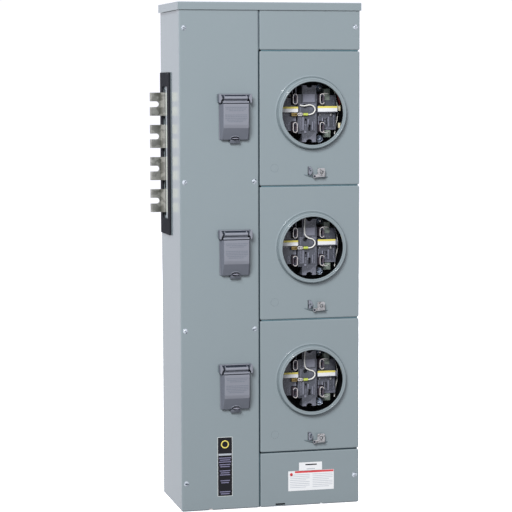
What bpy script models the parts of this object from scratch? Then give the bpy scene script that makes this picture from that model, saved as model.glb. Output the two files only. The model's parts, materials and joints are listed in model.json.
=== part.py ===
"""Three-socket meter enclosure for a row of metered tenants, modelled as it comes apart on a bench.

Frame: metres, +Z up, +X to the right of a person who faces the covers, +Y into the wall.
The origin is in the middle of the bottom end, on its outer face.
"""

import math

import bmesh
import bpy
from mathutils import Matrix, Vector

# Driving dimensions of the whole enclosure
WIDTH = 0.480
DEPTH = 0.260
HEIGHT = 1.320
SHEET = 0.0016
GAP = 0.0004
FRONT = -DEPTH / 2
BACK = DEPTH / 2
BOTTOM_Z = 0.0006

# Covers: a seam line splits the front into a breaker column and a meter column
SEAM = 0.0030
SEAM_X = -0.0307
UNIT_PITCH = 0.350
TOP_SEAM_Z = 1.195
COVER_TOP_Z = 1.310
COVER_WRAP = 0.035
COVER_RETURN = 0.012
BEND_RADIUS = 0.0025
CAP_SKIRT = 0.0215
CAP_OVERHANG = 0.0032

# The steel box behind the covers
BOX_SIDE_X = WIDTH / 2 - SHEET - GAP
LIP_Y = FRONT + COVER_RETURN + 0.002
LIP_WIDTH = 0.018
BOX_TOP_Z = HEIGHT - SHEET - GAP

# The meter units, measured from each unit's centre, which is the middle of its opening
UNITS = 3
UNIT_BELOW_SEAM = 0.162
METER_X = 0.110
OPENING_RADIUS = 0.082
COLLAR_OUT = 0.0140
RING_SIDES = 36
JAW_X = 0.0365
JAW_Z = 0.0370
JAW_TIP_Y = FRONT + 0.030
COLUMN_FRONT_Y = FRONT + 0.038
PAN_Y = FRONT + 0.112

# Cover latch, measured from the unit's centre
LATCH_X = 0.1150
LATCH_DROP = 0.1640
LATCH_SHAFT_RADIUS = 0.0035

# Breakers and their weather lids
LID_X = -0.0972
LID_HINGE_RISE = 0.0440
LID_HINGE_OUT = 0.0120
LID_PLATEAU_OUT = 0.0270
BREAKER_DROP = 0.0180
TOGGLE_Y = FRONT + 0.0095
TOGGLE_REST_DEG = -15.0

# Cross bus
BUS_Y = FRONT + 0.200
BUS_THICKNESS = 0.006
BUS_HEIGHT = 0.0615
BUS_PITCH = 0.0855
BUS_TOP_Z = 1.0567
BUS_TIP_X = -0.2775
BUS_NAMES = ("cross_bus_a", "cross_bus_b", "cross_bus_c", "cross_bus_neutral")

# Cover screws: name, place across, place up
SCREWS = (
    ("cover_screw_top_left", -0.228, 1.252),
    ("cover_screw_upper_left", -0.228, 0.858),
    ("cover_screw_upper_seam", -0.0435, 0.858),
    ("cover_screw_lower_left", -0.228, 0.474),
    ("cover_screw_lower_seam", -0.0435, 0.474),
    ("cover_screw_bottom_left", -0.228, 0.074),
    ("cover_screw_top_right", 0.228, 1.256),
    ("cover_screw_bottom_right", 0.228, 0.074),
)
SCREW_RADIUS = 0.0024
SCREW_HEAD_RADIUS = 0.0058
SCREW_CLEARANCE = 0.0005


# ---------------------------------------------------------------- tools

def clear_scene():
    for obj in list(bpy.data.objects):
        bpy.data.objects.remove(obj)


def material(name, colour, roughness, metallic=0.0):
    made = bpy.data.materials.new(name)
    made.use_nodes = True
    shader = made.node_tree.nodes["Principled BSDF"]
    shader.inputs["Base Color"].default_value = (*colour, 1.0)
    shader.inputs["Roughness"].default_value = roughness
    shader.inputs["Metallic"].default_value = metallic
    return made


def shape(bm):
    """A working object that holds the mesh of bm."""
    mesh = bpy.data.meshes.new("shape")
    bmesh.ops.recalc_face_normals(bm, faces=bm.faces)
    bm.to_mesh(mesh)
    bm.free()
    obj = bpy.data.objects.new("shape", mesh)
    bpy.context.scene.collection.objects.link(obj)
    return obj


def block(x, y, z, radius=0.0, rounded=None, segments=1):
    """A box between pairs of limits. rounded(middle of an edge, its direction) picks the edges to round."""
    bm = bmesh.new()
    bmesh.ops.create_cube(bm, size=1.0)
    low = Vector((min(x), min(y), min(z)))
    size = Vector((max(x), max(y), max(z))) - low
    for vertex in bm.verts:
        vertex.co = Vector(low[i] + (vertex.co[i] + 0.5) * size[i] for i in range(3))
    if radius:
        picked = []
        for edge in bm.edges:
            middle = (edge.verts[0].co + edge.verts[1].co) / 2
            along = (edge.verts[1].co - edge.verts[0].co).normalized()
            if rounded is None or rounded(middle, along):
                picked.append(edge)
        bmesh.ops.bevel(bm, geom=picked, offset=radius, segments=segments, profile=0.5, affect="EDGES")
    return shape(bm)


def prism(outline, axis, span):
    """A flat outline pushed along an axis. The outline is in the other two axes, in X, Y, Z order."""
    bm = bmesh.new()
    across = [i for i in range(3) if i != axis]
    vertices = []
    for point in outline:
        place = [0.0, 0.0, 0.0]
        place[across[0]] = point[0]
        place[across[1]] = point[1]
        place[axis] = span[0]
        vertices.append(bm.verts.new(place))
    face = bm.faces.new(vertices)
    pushed = bmesh.ops.extrude_face_region(bm, geom=[face])
    step = Vector([span[1] - span[0] if i == axis else 0.0 for i in range(3)])
    moved = [item for item in pushed["geom"] if isinstance(item, bmesh.types.BMVert)]
    bmesh.ops.translate(bm, verts=moved, vec=step)
    return shape(bm)


def arc(centre, radius, start_deg, end_deg, steps):
    """Points along a circle's arc, both ends included."""
    angles = [math.radians(start_deg + (end_deg - start_deg) * i / steps) for i in range(steps + 1)]
    return [(centre[0] + radius * math.cos(a), centre[1] + radius * math.sin(a)) for a in angles]


def disc(centre, radius, axis, span, sides=12):
    """A round bar along an axis. The centre is in the other two axes, in X, Y, Z order."""
    outline = arc(centre, radius, 0, 360 * (sides - 1) / sides, sides - 1)
    return prism(outline, axis, span)


def turned(profile, centre, sides):
    """A ring turned about a line along Y. The profile is a closed loop of (radius, y) points."""
    bm = bmesh.new()
    loops = []
    for step in range(sides):
        angle = 2 * math.pi * step / sides
        cos = math.cos(angle)
        sin = math.sin(angle)
        loops.append([bm.verts.new((centre[0] + r * cos, y, centre[1] + r * sin)) for r, y in profile])
    count = len(profile)
    for step in range(sides):
        here = loops[step]
        after = loops[(step + 1) % sides]
        for i in range(count):
            j = (i + 1) % count
            bm.faces.new((here[i], here[j], after[j], after[i]))
    return shape(bm)


def combine(base, tool, operation):
    """Joins or cuts base with tool, and removes the tool."""
    modifier = base.modifiers.new(operation, "BOOLEAN")
    modifier.operation = operation
    modifier.object = tool
    graph = bpy.context.evaluated_depsgraph_get()
    result = bpy.data.meshes.new_from_object(base.evaluated_get(graph))
    base.modifiers.clear()
    base.data = result
    bpy.data.objects.remove(tool)
    return base


def fuse(base, *others):
    for other in others:
        combine(base, other, "UNION")
    return base


def cut(base, *tools):
    for tool in tools:
        combine(base, tool, "DIFFERENCE")
    return base


def finish(base, origin=(0, 0, 0)):
    """The mesh of a working object, moved so that its origin is at the given place."""
    mesh = base.data
    mesh.transform(Matrix.Translation(-Vector(origin)))
    mesh.shade_smooth()
    mesh.set_sharp_from_angle(angle=math.radians(30))
    bpy.data.objects.remove(base)
    return mesh


def place(name, mesh, finish_material, location=(0, 0, 0), parent=None):
    """One named piece of the enclosure."""
    if not mesh.materials:
        mesh.materials.append(finish_material)
    mesh.name = name
    obj = bpy.data.objects.new(name, mesh)
    bpy.context.scene.collection.objects.link(obj)
    obj.location = location
    obj.parent = parent
    return obj


def anchor(name, location):
    empty = bpy.data.objects.new(name, None)
    bpy.context.scene.collection.objects.link(empty)
    empty.location = location
    return empty


# ---------------------------------------------------------------- places worked out from the dimensions

def unit_centre(unit):
    return TOP_SEAM_Z - UNIT_BELOW_SEAM - unit * UNIT_PITCH


def seam_heights():
    return [TOP_SEAM_Z - i * UNIT_PITCH for i in range(UNITS + 1)]


def screw_holes(names, y, extra=SCREW_CLEARANCE):
    """Cutters for the holes of the screws whose name holds one of these words."""
    chosen = [(x, z) for name, x, z in SCREWS if any(word in name for word in names)]
    return [disc(centre, SCREW_RADIUS + extra, 1, y, 8) for centre in chosen]


# ---------------------------------------------------------------- steel box and covers

def enclosure_box():
    side = BOX_SIDE_X
    box = block((-side, side), (LIP_Y, BACK), (0, BOX_TOP_Z))
    inner_x = side - SHEET
    cut(box, block((-inner_x, inner_x), (LIP_Y + SHEET, BACK - SHEET), (SHEET, BOX_TOP_Z - SHEET)))
    mouth_x = side - SHEET - LIP_WIDTH
    mouth_z = (SHEET + LIP_WIDTH, BOX_TOP_Z - SHEET - LIP_WIDTH)
    cut(box, block((-mouth_x, mouth_x), (LIP_Y - SHEET, LIP_Y + 2 * SHEET), mouth_z))
    cut(box, bus_window())
    cut(box, *wall_holes())
    return cut(box, *screw_holes(("left", "right"), (LIP_Y - SHEET, LIP_Y + 2 * SHEET), 0.0003))


def bus_window():
    """The opening in the left wall that the cross bus comes out through."""
    low = BUS_TOP_Z - 3 * BUS_PITCH - BUS_HEIGHT / 2 - 0.008
    high = BUS_TOP_Z + BUS_HEIGHT / 2 + 0.008
    through = (-BOX_SIDE_X - SHEET, -BOX_SIDE_X + 2 * SHEET)
    return block(through, (BUS_Y - 0.006, BUS_Y + 0.018), (low, high))


def wall_holes():
    """Keyholes near the top and plain holes near the bottom of the back wall."""
    through = (BACK - 2 * SHEET, BACK + SHEET)
    cutters = []
    for x in (-0.150, 0.150):
        cutters.append(disc((x, 0.060), 0.0045, 1, through, 8))
        head = arc((x, 1.230), 0.0085, 122, 418, 8)
        neck = arc((x, 1.255), 0.0045, 0, 180, 4)
        cutters.append(prism(head + neck, 1, through))
    return cutters


def pan(x, z, wraps_left, wraps_right):
    """A sheet cover with bent edges: a deep flange where it wraps round the box, a short one elsewhere."""
    back = FRONT + COVER_WRAP

    def outer_bends(middle, along):
        return abs(along.y) > 0.9 or middle.y < FRONT + SHEET

    cover = block(x, (FRONT, back), z, BEND_RADIUS, outer_bends)
    inside_x = (x[0] + SHEET, x[1] - SHEET)
    inside_z = (z[0] + SHEET, z[1] - SHEET)
    cut(cover, block(inside_x, (FRONT + SHEET, back + SHEET), inside_z))
    trim_left = x[0] + SHEET + GAP if wraps_left else x[0] - SHEET
    trim_right = x[1] - SHEET - GAP if wraps_right else x[1] + SHEET
    trim_x = (trim_left, trim_right)
    return cut(cover, block(trim_x, (FRONT + COVER_RETURN, back + SHEET), (z[0] - SHEET, z[1] + SHEET)))


def breaker_cover():
    cover = pan((-WIDTH / 2, SEAM_X - SEAM / 2), (BOTTOM_Z, COVER_TOP_Z), True, False)
    plate = (FRONT - SHEET, FRONT + 2 * SHEET)
    for unit in range(UNITS):
        top = unit_centre(unit) + LID_HINGE_RISE - 0.020
        cut(cover, block((LID_X - 0.029, LID_X + 0.029), plate, (top - 0.074, top)))
    notch = [(-0.170, -SHEET), (-0.156, -SHEET), (-0.160, 0.005), (-0.166, 0.005)]
    cut(cover, prism(notch, 1, (FRONT - SHEET, FRONT + COVER_WRAP)))
    return cut(cover, *screw_holes(("left", "seam"), plate))


def upper_cover():
    cover = pan((SEAM_X + SEAM / 2, WIDTH / 2), (TOP_SEAM_Z + SEAM / 2, COVER_TOP_Z), False, True)
    return cut(cover, *screw_holes(("top_right",), (FRONT - SHEET, FRONT + 2 * SHEET)))


def lower_cover():
    top = seam_heights()[-1] - SEAM / 2
    cover = pan((SEAM_X + SEAM / 2, WIDTH / 2), (BOTTOM_Z, top), False, True)
    cut(cover, block((0.0115, 0.0375), (FRONT - SHEET, FRONT + 2 * SHEET), (0.0048, 0.0085)))
    return cut(cover, *screw_holes(("bottom_right",), (FRONT - SHEET, FRONT + 2 * SHEET)))


def rain_cap():
    x = WIDTH / 2 + CAP_OVERHANG
    front = FRONT - CAP_OVERHANG

    back = BACK - 0.0010

    def bends(middle, along):
        return (abs(along.z) > 0.9 or middle.z > HEIGHT - SHEET) and middle.y < back - SHEET

    cap = block((-x, x), (front, back), (HEIGHT - CAP_SKIRT, HEIGHT), BEND_RADIUS, bends)
    inside_z = (HEIGHT - CAP_SKIRT - SHEET, HEIGHT - SHEET)
    return cut(cap, block((SHEET - x, x - SHEET), (front + SHEET, back + SHEET), inside_z))


def collar_profile():
    """Section of the drawn collar as (radius, y): a bead, a groove, then the meter's seat."""
    r = OPENING_RADIUS
    out = COLLAR_OUT
    outer = [(r + 0.0170, -0.0004), (r + 0.0125, 0.0058), (r + 0.0096, 0.0046), (r + 0.0080, out), (r, out)]
    inner = [(r, out - 0.0040), (r + 0.0064, out - SHEET), (r + 0.0082, 0.0026), (r + 0.0130, -0.0012)]
    return [(radius, FRONT - height) for radius, height in outer + inner]


def meter_cover():
    """One meter cover, placed for a unit whose centre is at height zero."""
    top = UNIT_BELOW_SEAM - SEAM / 2
    bottom = UNIT_BELOW_SEAM - UNIT_PITCH + SEAM / 2
    cover = pan((SEAM_X + SEAM / 2, WIDTH / 2), (bottom, top), False, True)
    plate = (FRONT - SHEET, FRONT + 2 * SHEET)
    cut(cover, disc((METER_X, 0), OPENING_RADIUS + 0.0150, 1, plate, RING_SIDES))
    fuse(cover, turned(collar_profile(), (METER_X, 0), RING_SIDES))
    cut(cover, disc((LATCH_X, -LATCH_DROP), LATCH_SHAFT_RADIUS + 0.0004, 1, plate))
    relief = [(FRONT + 0.004, bottom - SHEET), (FRONT + COVER_WRAP + SHEET, bottom - SHEET)]
    relief += [(FRONT + COVER_WRAP + SHEET, bottom + 0.004), (FRONT + 0.012, bottom + 0.001)]
    cut(cover, prism(relief, 0, (WIDTH / 2 - 2 * SHEET, WIDTH / 2 + SHEET)))
    return fuse(cover, seal_fin(), latch_sill())


def seal_fin():
    """The upright fin beside the latch, with the hole that a seal wire or a padlock goes through."""
    x = LATCH_X - 0.0075
    foot = -LATCH_DROP + 0.001
    root = FRONT + 0.0008
    nose = arc((FRONT - 0.004, foot + 0.013), 0.010, 180, 90, 3)
    outline = [(root, foot), (FRONT - 0.014, foot)] + nose + [(root, foot + 0.023)]
    fin = prism(outline, 0, (x - 0.0008, x + 0.0008))
    return cut(fin, disc((FRONT - 0.0068, foot + 0.010), 0.0032, 0, (x - 0.002, x + 0.002), 8))


def latch_sill():
    """The shallow curved lip under the latch."""
    z = -LATCH_DROP - 0.0055
    middle = LATCH_X + 0.0065
    half = 0.032
    out = 0.0060
    radius = (half * half + out * out) / (2 * out)
    spread = math.degrees(math.asin(half / radius))
    outer = arc((middle, FRONT - out + radius), radius, 270 - spread, 270 + spread, 4)
    tongue = [(middle + half, FRONT + 0.0008), (middle - half, FRONT + 0.0008)]
    return prism(outer + tongue, 2, (z, z + SHEET))


def cover_latch():
    """Quarter-turn latch in one piece: the outer arm with its seal tab, the shaft and the inner cam."""
    x = LATCH_X
    z = -LATCH_DROP
    arm_y = (FRONT - 0.0100, FRONT - 0.0080)
    boss = arc((x, z), 0.0050, 90, 270, 4)
    tab = [(x + 0.0300, z - 0.0030), (x + 0.0300, z + 0.0220)]
    tab += [(x + 0.0100, z + 0.0220), (x + 0.0100, z + 0.0050)]
    latch = prism(boss + tab, 1, arm_y)
    cut(latch, disc((x + 0.0200, z + 0.0100), 0.0042, 1, (arm_y[0] - 0.001, arm_y[1] + 0.001)))
    fuse(latch, disc((x, z), LATCH_SHAFT_RADIUS, 1, (FRONT - 0.0090, FRONT + 0.0190)))
    cam = block((x - 0.006, x + 0.006), (FRONT + 0.0160, FRONT + 0.0180), (z - 0.0105, z + 0.006))
    return fuse(latch, cam)


# ---------------------------------------------------------------- inner frame

def meter_frame():
    """Partition, its front flange, the four rails behind the seams and the mounting pan, welded as one."""
    lip = (LIP_Y, LIP_Y + SHEET)
    wall = (SEAM_X - SHEET / 2, SEAM_X + SHEET / 2)
    frame = block(wall, (LIP_Y + SHEET / 2, BACK - SHEET - GAP), (SHEET + GAP, BOX_TOP_Z - SHEET - GAP))
    ends = (SHEET + LIP_WIDTH + GAP, BOX_TOP_Z - SHEET - LIP_WIDTH - GAP)
    cut(frame, block((wall[0] - SHEET, wall[1] + SHEET), (LIP_Y - SHEET, LIP_Y + 0.004), (0, ends[0])))
    cut(frame, block((wall[0] - SHEET, wall[1] + SHEET), (LIP_Y - SHEET, LIP_Y + 0.004), (ends[1], HEIGHT)))
    fuse(frame, block((SEAM_X - 0.020, SEAM_X + 0.020), lip, ends))
    rail_end = BOX_SIDE_X - SHEET - LIP_WIDTH - GAP
    for z in seam_heights():
        rail = (z - 0.012, z + 0.012)
        stiffener = (rail[0], rail[0] + SHEET)
        fuse(frame, block((SEAM_X + 0.010, rail_end), (LIP_Y + 0.0001, LIP_Y + SHEET - 0.0001), rail))
        fuse(frame, block((SEAM_X + 0.0005, rail_end), (LIP_Y + 0.0008, LIP_Y + 0.016), stiffener))
    half_x = BOX_SIDE_X - SHEET - GAP
    low = unit_centre(UNITS - 1) - 0.110
    high = unit_centre(0) + 0.110
    fuse(frame, block((-half_x, half_x), (PAN_Y, PAN_Y + SHEET), (low, high)))
    for unit in range(UNITS):
        cut(frame, *unit_windows(unit_centre(unit)))
    slot_y = (BUS_Y - 0.006, BUS_Y + BUS_THICKNESS + 0.006)
    for i in range(len(BUS_NAMES)):
        z = BUS_TOP_Z - i * BUS_PITCH
        slot_z = (z - BUS_HEIGHT / 2 - 0.006, z + BUS_HEIGHT / 2 + 0.006)
        cut(frame, block((wall[0] - SHEET, wall[1] + SHEET), slot_y, slot_z))
    return cut(frame, *screw_holes(("seam",), (LIP_Y - SHEET, LIP_Y + 2 * SHEET), 0.0003))


def unit_windows(centre):
    """Holes in the pan and the partition for the jaw legs and the straps to the breaker."""
    pan_y = (PAN_Y - SHEET, PAN_Y + 2 * SHEET)
    jaws_z = (centre - JAW_Z - 0.012, centre + JAW_Z + 0.012)
    cutters = [block((x - 0.012, x + 0.012), pan_y, jaws_z) for x in (METER_X - JAW_X, METER_X + JAW_X)]
    strap_z = (centre - JAW_Z - 0.012, centre + 0.012)
    cutters.append(block((SEAM_X - 0.024, SEAM_X - 0.006), pan_y, strap_z))
    cutters.append(block((SEAM_X - 0.004, SEAM_X + 0.004), (PAN_Y + 0.003, PAN_Y + 0.017), strap_z))
    return cutters


# ---------------------------------------------------------------- meter socket

def socket_base():
    """Moulded block for one unit, centred on the opening: a middle column, two wings and label ridges."""
    back = PAN_Y - GAP
    x = METER_X
    base = block((x - 0.026, x + 0.026), (COLUMN_FRONT_Y, back), (-0.072, 0.072))
    wing_y = (COLUMN_FRONT_Y + 0.006, back - 0.0002)
    fuse(base, block((x - 0.078, x + 0.078), wing_y, (-0.052, 0.050)))
    ridge_y = (COLUMN_FRONT_Y - 0.004, back - 0.004)
    fuse(base, block((x - 0.074, x - 0.025), ridge_y, (0.002, 0.014)))
    fuse(base, block((x + 0.025, x + 0.074), ridge_y, (0.002, 0.014)))
    through = (COLUMN_FRONT_Y - 0.010, back + 0.005)
    for z in (-0.072, 0.072):
        cut(base, disc((x + 0.003, z), 0.008, 1, through))
    for side in (-1, 1):
        for z in (-JAW_Z, JAW_Z):
            middle = x + side * JAW_X
            pocket_z = (z - 0.0145, z + 0.0145)
            cut(base, block((middle - 0.0062, middle + 0.0062), through, pocket_z))
    return base


def jaw(leg):
    """A spring jaw for one meter blade, centred on the blade, with a leg back to the given depth."""
    tip = JAW_TIP_Y

    def upright(middle, along):
        return abs(along.y) > 0.9

    body = block((-0.0053, 0.0053), (tip, tip + 0.026), (-0.0135, 0.0135), 0.0022, upright)
    cut(body, block((-0.0017, 0.0017), (tip - 0.001, tip + 0.020), (-0.0105, 0.0105)))
    mouth = [(-0.0036, tip - 0.0002), (0.0036, tip - 0.0002)]
    mouth += [(0.0010, tip + 0.0040), (-0.0010, tip + 0.0040)]
    cut(body, prism(mouth, 2, (-0.0105, 0.0105)))
    return fuse(body, block((-0.0020, 0.0020), (tip + 0.022, leg), (-0.0080, 0.0080)))


def line_jaw():
    """The upper jaws, whose legs end on the riser bars."""
    return jaw(PAN_Y + 0.0157)


def load_jaw(reach, rise):
    """The lower jaws, each with a strap that runs left behind the pan and forward to its breaker pole."""
    strap_y = (PAN_Y + 0.0080, PAN_Y + 0.0110)
    end = SEAM_X - 0.0165 - reach
    piece = jaw(strap_y[1] - 0.0005)
    if rise:
        fuse(piece, block((-0.0060, 0.0060), strap_y, (-0.0070, rise + 0.0070)))
    across_y = (strap_y[0] + 0.0001, strap_y[1] - 0.0001)
    fuse(piece, block((end, 0.0059), across_y, (rise - 0.0069, rise + 0.0069)))
    forward_y = (PAN_Y - 0.0400, strap_y[1] - 0.0002)
    fuse(piece, block((end, end + 0.003), forward_y, (rise - 0.0068, rise + 0.0068)))
    blade_y = (forward_y[0] + 0.0001, forward_y[0] + 0.0121)
    return fuse(piece, block((end - 0.0070, end + 0.0010), blade_y, (rise - 0.0067, rise + 0.0067)))


def neutral_wire(points):
    """A round wire through the given points, in front of the socket's middle column."""
    curve = bpy.data.curves.new("wire", "CURVE")
    curve.dimensions = "3D"
    curve.bevel_depth = 0.0017
    curve.bevel_resolution = 0
    curve.resolution_u = 3
    curve.use_fill_caps = True
    spline = curve.splines.new("BEZIER")
    spline.bezier_points.add(len(points) - 1)
    for bezier, point in zip(spline.bezier_points, points):
        bezier.co = point
        bezier.handle_left_type = "AUTO"
        bezier.handle_right_type = "AUTO"
    obj = bpy.data.objects.new("wire", curve)
    bpy.context.scene.collection.objects.link(obj)
    graph = bpy.context.evaluated_depsgraph_get()
    mesh = bpy.data.meshes.new_from_object(obj.evaluated_get(graph))
    bpy.data.objects.remove(obj)
    bm = bmesh.new()
    bm.from_mesh(mesh)
    bmesh.ops.remove_doubles(bm, verts=bm.verts, dist=1e-6)
    return shape(bm)


def wire_points(rises):
    """Where a neutral wire runs: from the ring terminal round one loop, then up or into the column."""
    y = COLUMN_FRONT_Y - 0.0035
    loop = [(-0.013, -0.0035), (0.002, -0.0035), (0.014, 0.000), (0.019, 0.009), (0.014, 0.018)]
    if rises:
        tail = [(0.002, 0.022), (-0.008, 0.030), (-0.011, 0.044), (-0.010, 0.078)]
    else:
        tail = [(0.002, 0.021), (-0.010, 0.020), (-0.023, 0.022)]
    return [(METER_X + x, y, z) for x, z in loop + tail]


# ---------------------------------------------------------------- breakers and lids

def breaker_case():
    """Two-pole breaker for one unit, lying on its side, with a raised nose round the handle."""
    z = -BREAKER_DROP
    case_y = (LIP_Y + 0.001, PAN_Y - GAP)
    case = block((-0.2050, -0.0565), case_y, (z - 0.038, z + 0.038), 0.002)
    nose_y = (FRONT + 0.0025, LIP_Y + 0.003)
    fuse(case, block((LID_X - 0.026, LID_X + 0.026), nose_y, (z - 0.021, z + 0.021), 0.0015))
    slot_y = (FRONT, TOGGLE_Y + 0.0072)
    return cut(case, block((LID_X - 0.014, LID_X + 0.014), slot_y, (z - 0.016, z + 0.016)))


def breaker_toggle():
    """Handle of both poles, modelled upright about its pivot at the origin."""
    toggle = disc((0, 0), 0.0065, 2, (-0.0150, 0.0150))
    grip = [(-0.0042, 0.0), (0.0042, 0.0), (0.0030, -0.0260), (-0.0030, -0.0260)]
    return fuse(toggle, prism(grip, 2, (-0.0135, 0.0135)))


def lid_section(inset):
    """Side outline of the lid as (y, z) from the hinge axis, moved inwards by inset."""
    wall = LID_HINGE_OUT - 0.0026
    out = LID_HINGE_OUT - LID_PLATEAU_OUT
    top = -0.0190 - inset
    crease = -0.0800 + inset * 0.3
    bottom = -0.1135 + inset
    heel = LID_HINGE_OUT - 0.0090 + inset
    return [(wall, top), (out + inset, top), (out + inset, crease), (heel, bottom), (wall, bottom)]


def lid_shell(inset):
    """The lid's tapered block, narrower at its face than at the wall."""
    bm = bmesh.new()
    wall = LID_HINGE_OUT - 0.0026
    sides = []
    for side in (-1, 1):
        loop = []
        for y, z in lid_section(inset):
            spread = (wall - y) / LID_PLATEAU_OUT
            half = 0.0378 - 0.0046 * spread - inset
            if z < -0.1:
                half -= 0.0030
            loop.append(bm.verts.new((side * half, y, z)))
        sides.append(loop)
    count = len(sides[0])
    bm.faces.new(sides[0])
    bm.faces.new(reversed(sides[1]))
    for i in range(count):
        j = (i + 1) % count
        bm.faces.new((sides[0][i], sides[0][j], sides[1][j], sides[1][i]))
    return shape(bm)


def breaker_lid():
    """Weather lid about its hinge axis: a barrel with pivot pins, a web, the shell, and a slotted foot."""
    lid = lid_shell(0.0)
    cavity = lid_shell(0.0020)
    cavity.data.transform(Matrix.Translation((0, 0.0022, 0)))
    cut(lid, cavity)
    fuse(lid, block((-0.0330, 0.0330), (-0.0080, -0.0045), (-0.0215, -0.0020)))
    fuse(lid, disc((0, 0), 0.0055, 0, (-0.0345, 0.0345)))
    fuse(lid, disc((0, 0), 0.0028, 0, (-0.0410, 0.0410)))
    slot_z = -0.1070
    cut(lid, block((-0.0115, 0.0115), (-0.0200, 0.0080), (slot_z - 0.0028, slot_z + 0.0028)))
    return lid


def lid_frame():
    """Base of one lid about the hinge axis: a plate round the opening, two ears and a padlock staple."""
    face = LID_HINGE_OUT - 0.0003
    plate_y = (face - 0.0020, face)
    frame = block((-0.0400, 0.0400), plate_y, (-0.1100, 0.0070))
    cut(frame, block((-0.0270, 0.0270), (plate_y[0] - 0.001, face + 0.001), (-0.0900, -0.0240)))
    for side in (-1, 1):
        inner = side * 0.0362
        outer = side * 0.0430
        fuse(frame, block((inner, outer), (LID_HINGE_OUT - 0.0180, face - 0.0001), (-0.0155, 0.0072)))
    fuse(frame, block((-0.0380, 0.0380), (LID_HINGE_OUT - 0.0095, face - 0.0002), (0.0068, 0.0090)))
    for side in (-1, 1):
        cut(frame, disc((0, 0), 0.0032, 0, (side * 0.0350, side * 0.0415)))
    slot_z = -0.1070
    staple = block((-0.0095, 0.0095), (-0.0105, face - 0.0005), (slot_z - 0.0010, slot_z + 0.0010))
    fuse(frame, staple)
    return cut(frame, disc((0, -0.0040), 0.0036, 2, (slot_z - 0.003, slot_z + 0.003)))


# ---------------------------------------------------------------- bus

def cross_bus():
    """One cross-bus bar at height zero, with a joggled, chamfered and slotted stub at the left."""
    y = BUS_Y
    t = BUS_THICKNESS
    step = 0.0050
    right = BOX_SIDE_X - 0.013
    front = [(right, y), (-0.2400, y), (-0.2480, y + step), (BUS_TIP_X + 0.0035, y + step)]
    back = [(BUS_TIP_X, y + step + 0.0035), (BUS_TIP_X, y + step + t), (-0.2490, y + step + t)]
    back += [(-0.2410, y + t), (right, y + t)]
    bar = prism(front + back, 2, (-BUS_HEIGHT / 2, BUS_HEIGHT / 2))
    slot_end = BUS_TIP_X + 0.0165
    slot = arc((slot_end, 0), 0.0075, -90, 90, 6)
    slot += [(BUS_TIP_X - 0.005, 0.0075), (BUS_TIP_X - 0.005, -0.0075)]
    return cut(bar, prism(slot, 1, (y - 0.005, y + 0.020)))


def bus_support(x):
    """Moulded comb between the back wall and the cross bus."""
    low = BUS_TOP_Z - 3 * BUS_PITCH - BUS_HEIGHT / 2 - 0.012
    high = BUS_TOP_Z + BUS_HEIGHT / 2 + 0.012
    support = block((x - 0.018, x + 0.018), (BUS_Y - 0.004, BACK - SHEET - GAP), (low, high))
    half = BUS_HEIGHT / 2 + GAP
    seat_y = (BUS_Y - 0.010, BUS_Y + BUS_THICKNESS + GAP)
    for i in range(len(BUS_NAMES)):
        z = BUS_TOP_Z - i * BUS_PITCH
        cut(support, block((x - 0.030, x + 0.030), seat_y, (z - half, z + half)))
    return support


def bus_bezel():
    """Insulating frame on the left wall round the cross-bus window."""
    x = (-BOX_SIDE_X - GAP - 0.0050, -BOX_SIDE_X - GAP)

    def outer_rim(middle, along):
        return middle.x < x[0] + 0.001

    bezel = block(x, (FRONT + 0.105, FRONT + 0.246), (0.7125, 1.1405), 0.0012, outer_rim)
    return cut(bezel, block((x[0] - 0.001, x[1] + 0.001), (FRONT + 0.144, FRONT + 0.218), (0.7535, 1.1030)))


def riser_bar(x, bus_index):
    """Upright bar behind one column of line jaws, with a post back to its cross-bus bar."""
    y = (PAN_Y + 0.0160, PAN_Y + 0.0210)
    low = unit_centre(UNITS - 1) + JAW_Z - 0.015
    high = unit_centre(0) + JAW_Z + 0.030
    riser = block((x - 0.0125, x + 0.0125), y, (low, high))
    z = BUS_TOP_Z - bus_index * BUS_PITCH
    post_y = (y[1] - 0.001, BUS_Y - 0.0003)
    return fuse(riser, block((x - 0.009, x + 0.009), post_y, (z - 0.010, z + 0.010)))


def ground_bar():
    """Terminal bar for the tenants' grounding wires, on the back wall of the breaker side."""
    bar = block((-0.190, -0.090), (BACK - 0.024, BACK - SHEET - GAP), (0.250, 0.262))
    for i in range(5):
        x = -0.180 + i * 0.020
        cut(bar, disc((x, 0.256), 0.0028, 1, (BACK - 0.030, BACK - 0.010), 8))
    return bar


def cover_screw():
    """Pan-head screw along Y, with its head seated on a face at y zero."""
    head = [(0.0, -0.0034), (0.0036, -0.0026), (SCREW_HEAD_RADIUS, 0.0)]
    shank = [(SCREW_RADIUS, 0.0), (SCREW_RADIUS, 0.0190), (0.0, 0.0190)]
    sides = 10
    bm = bmesh.new()
    rings = []
    for radius, y in head + shank:
        count = sides if radius else 1
        turns = [2 * math.pi * i / sides for i in range(count)]
        rings.append([bm.verts.new((radius * math.cos(a), y, radius * math.sin(a))) for a in turns])
    for here, after in zip(rings, rings[1:]):
        for i in range(sides):
            j = (i + 1) % sides
            near = [here[i % len(here)], here[j % len(here)]]
            far = [after[j % len(after)], after[i % len(after)]]
            bm.faces.new(list(dict.fromkeys(near + far)))
    screw = shape(bm)
    return cut(screw, block((-0.0030, 0.0030), (-0.0040, -0.0016), (-0.0005, 0.0005)))


# ---------------------------------------------------------------- assembly

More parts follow.
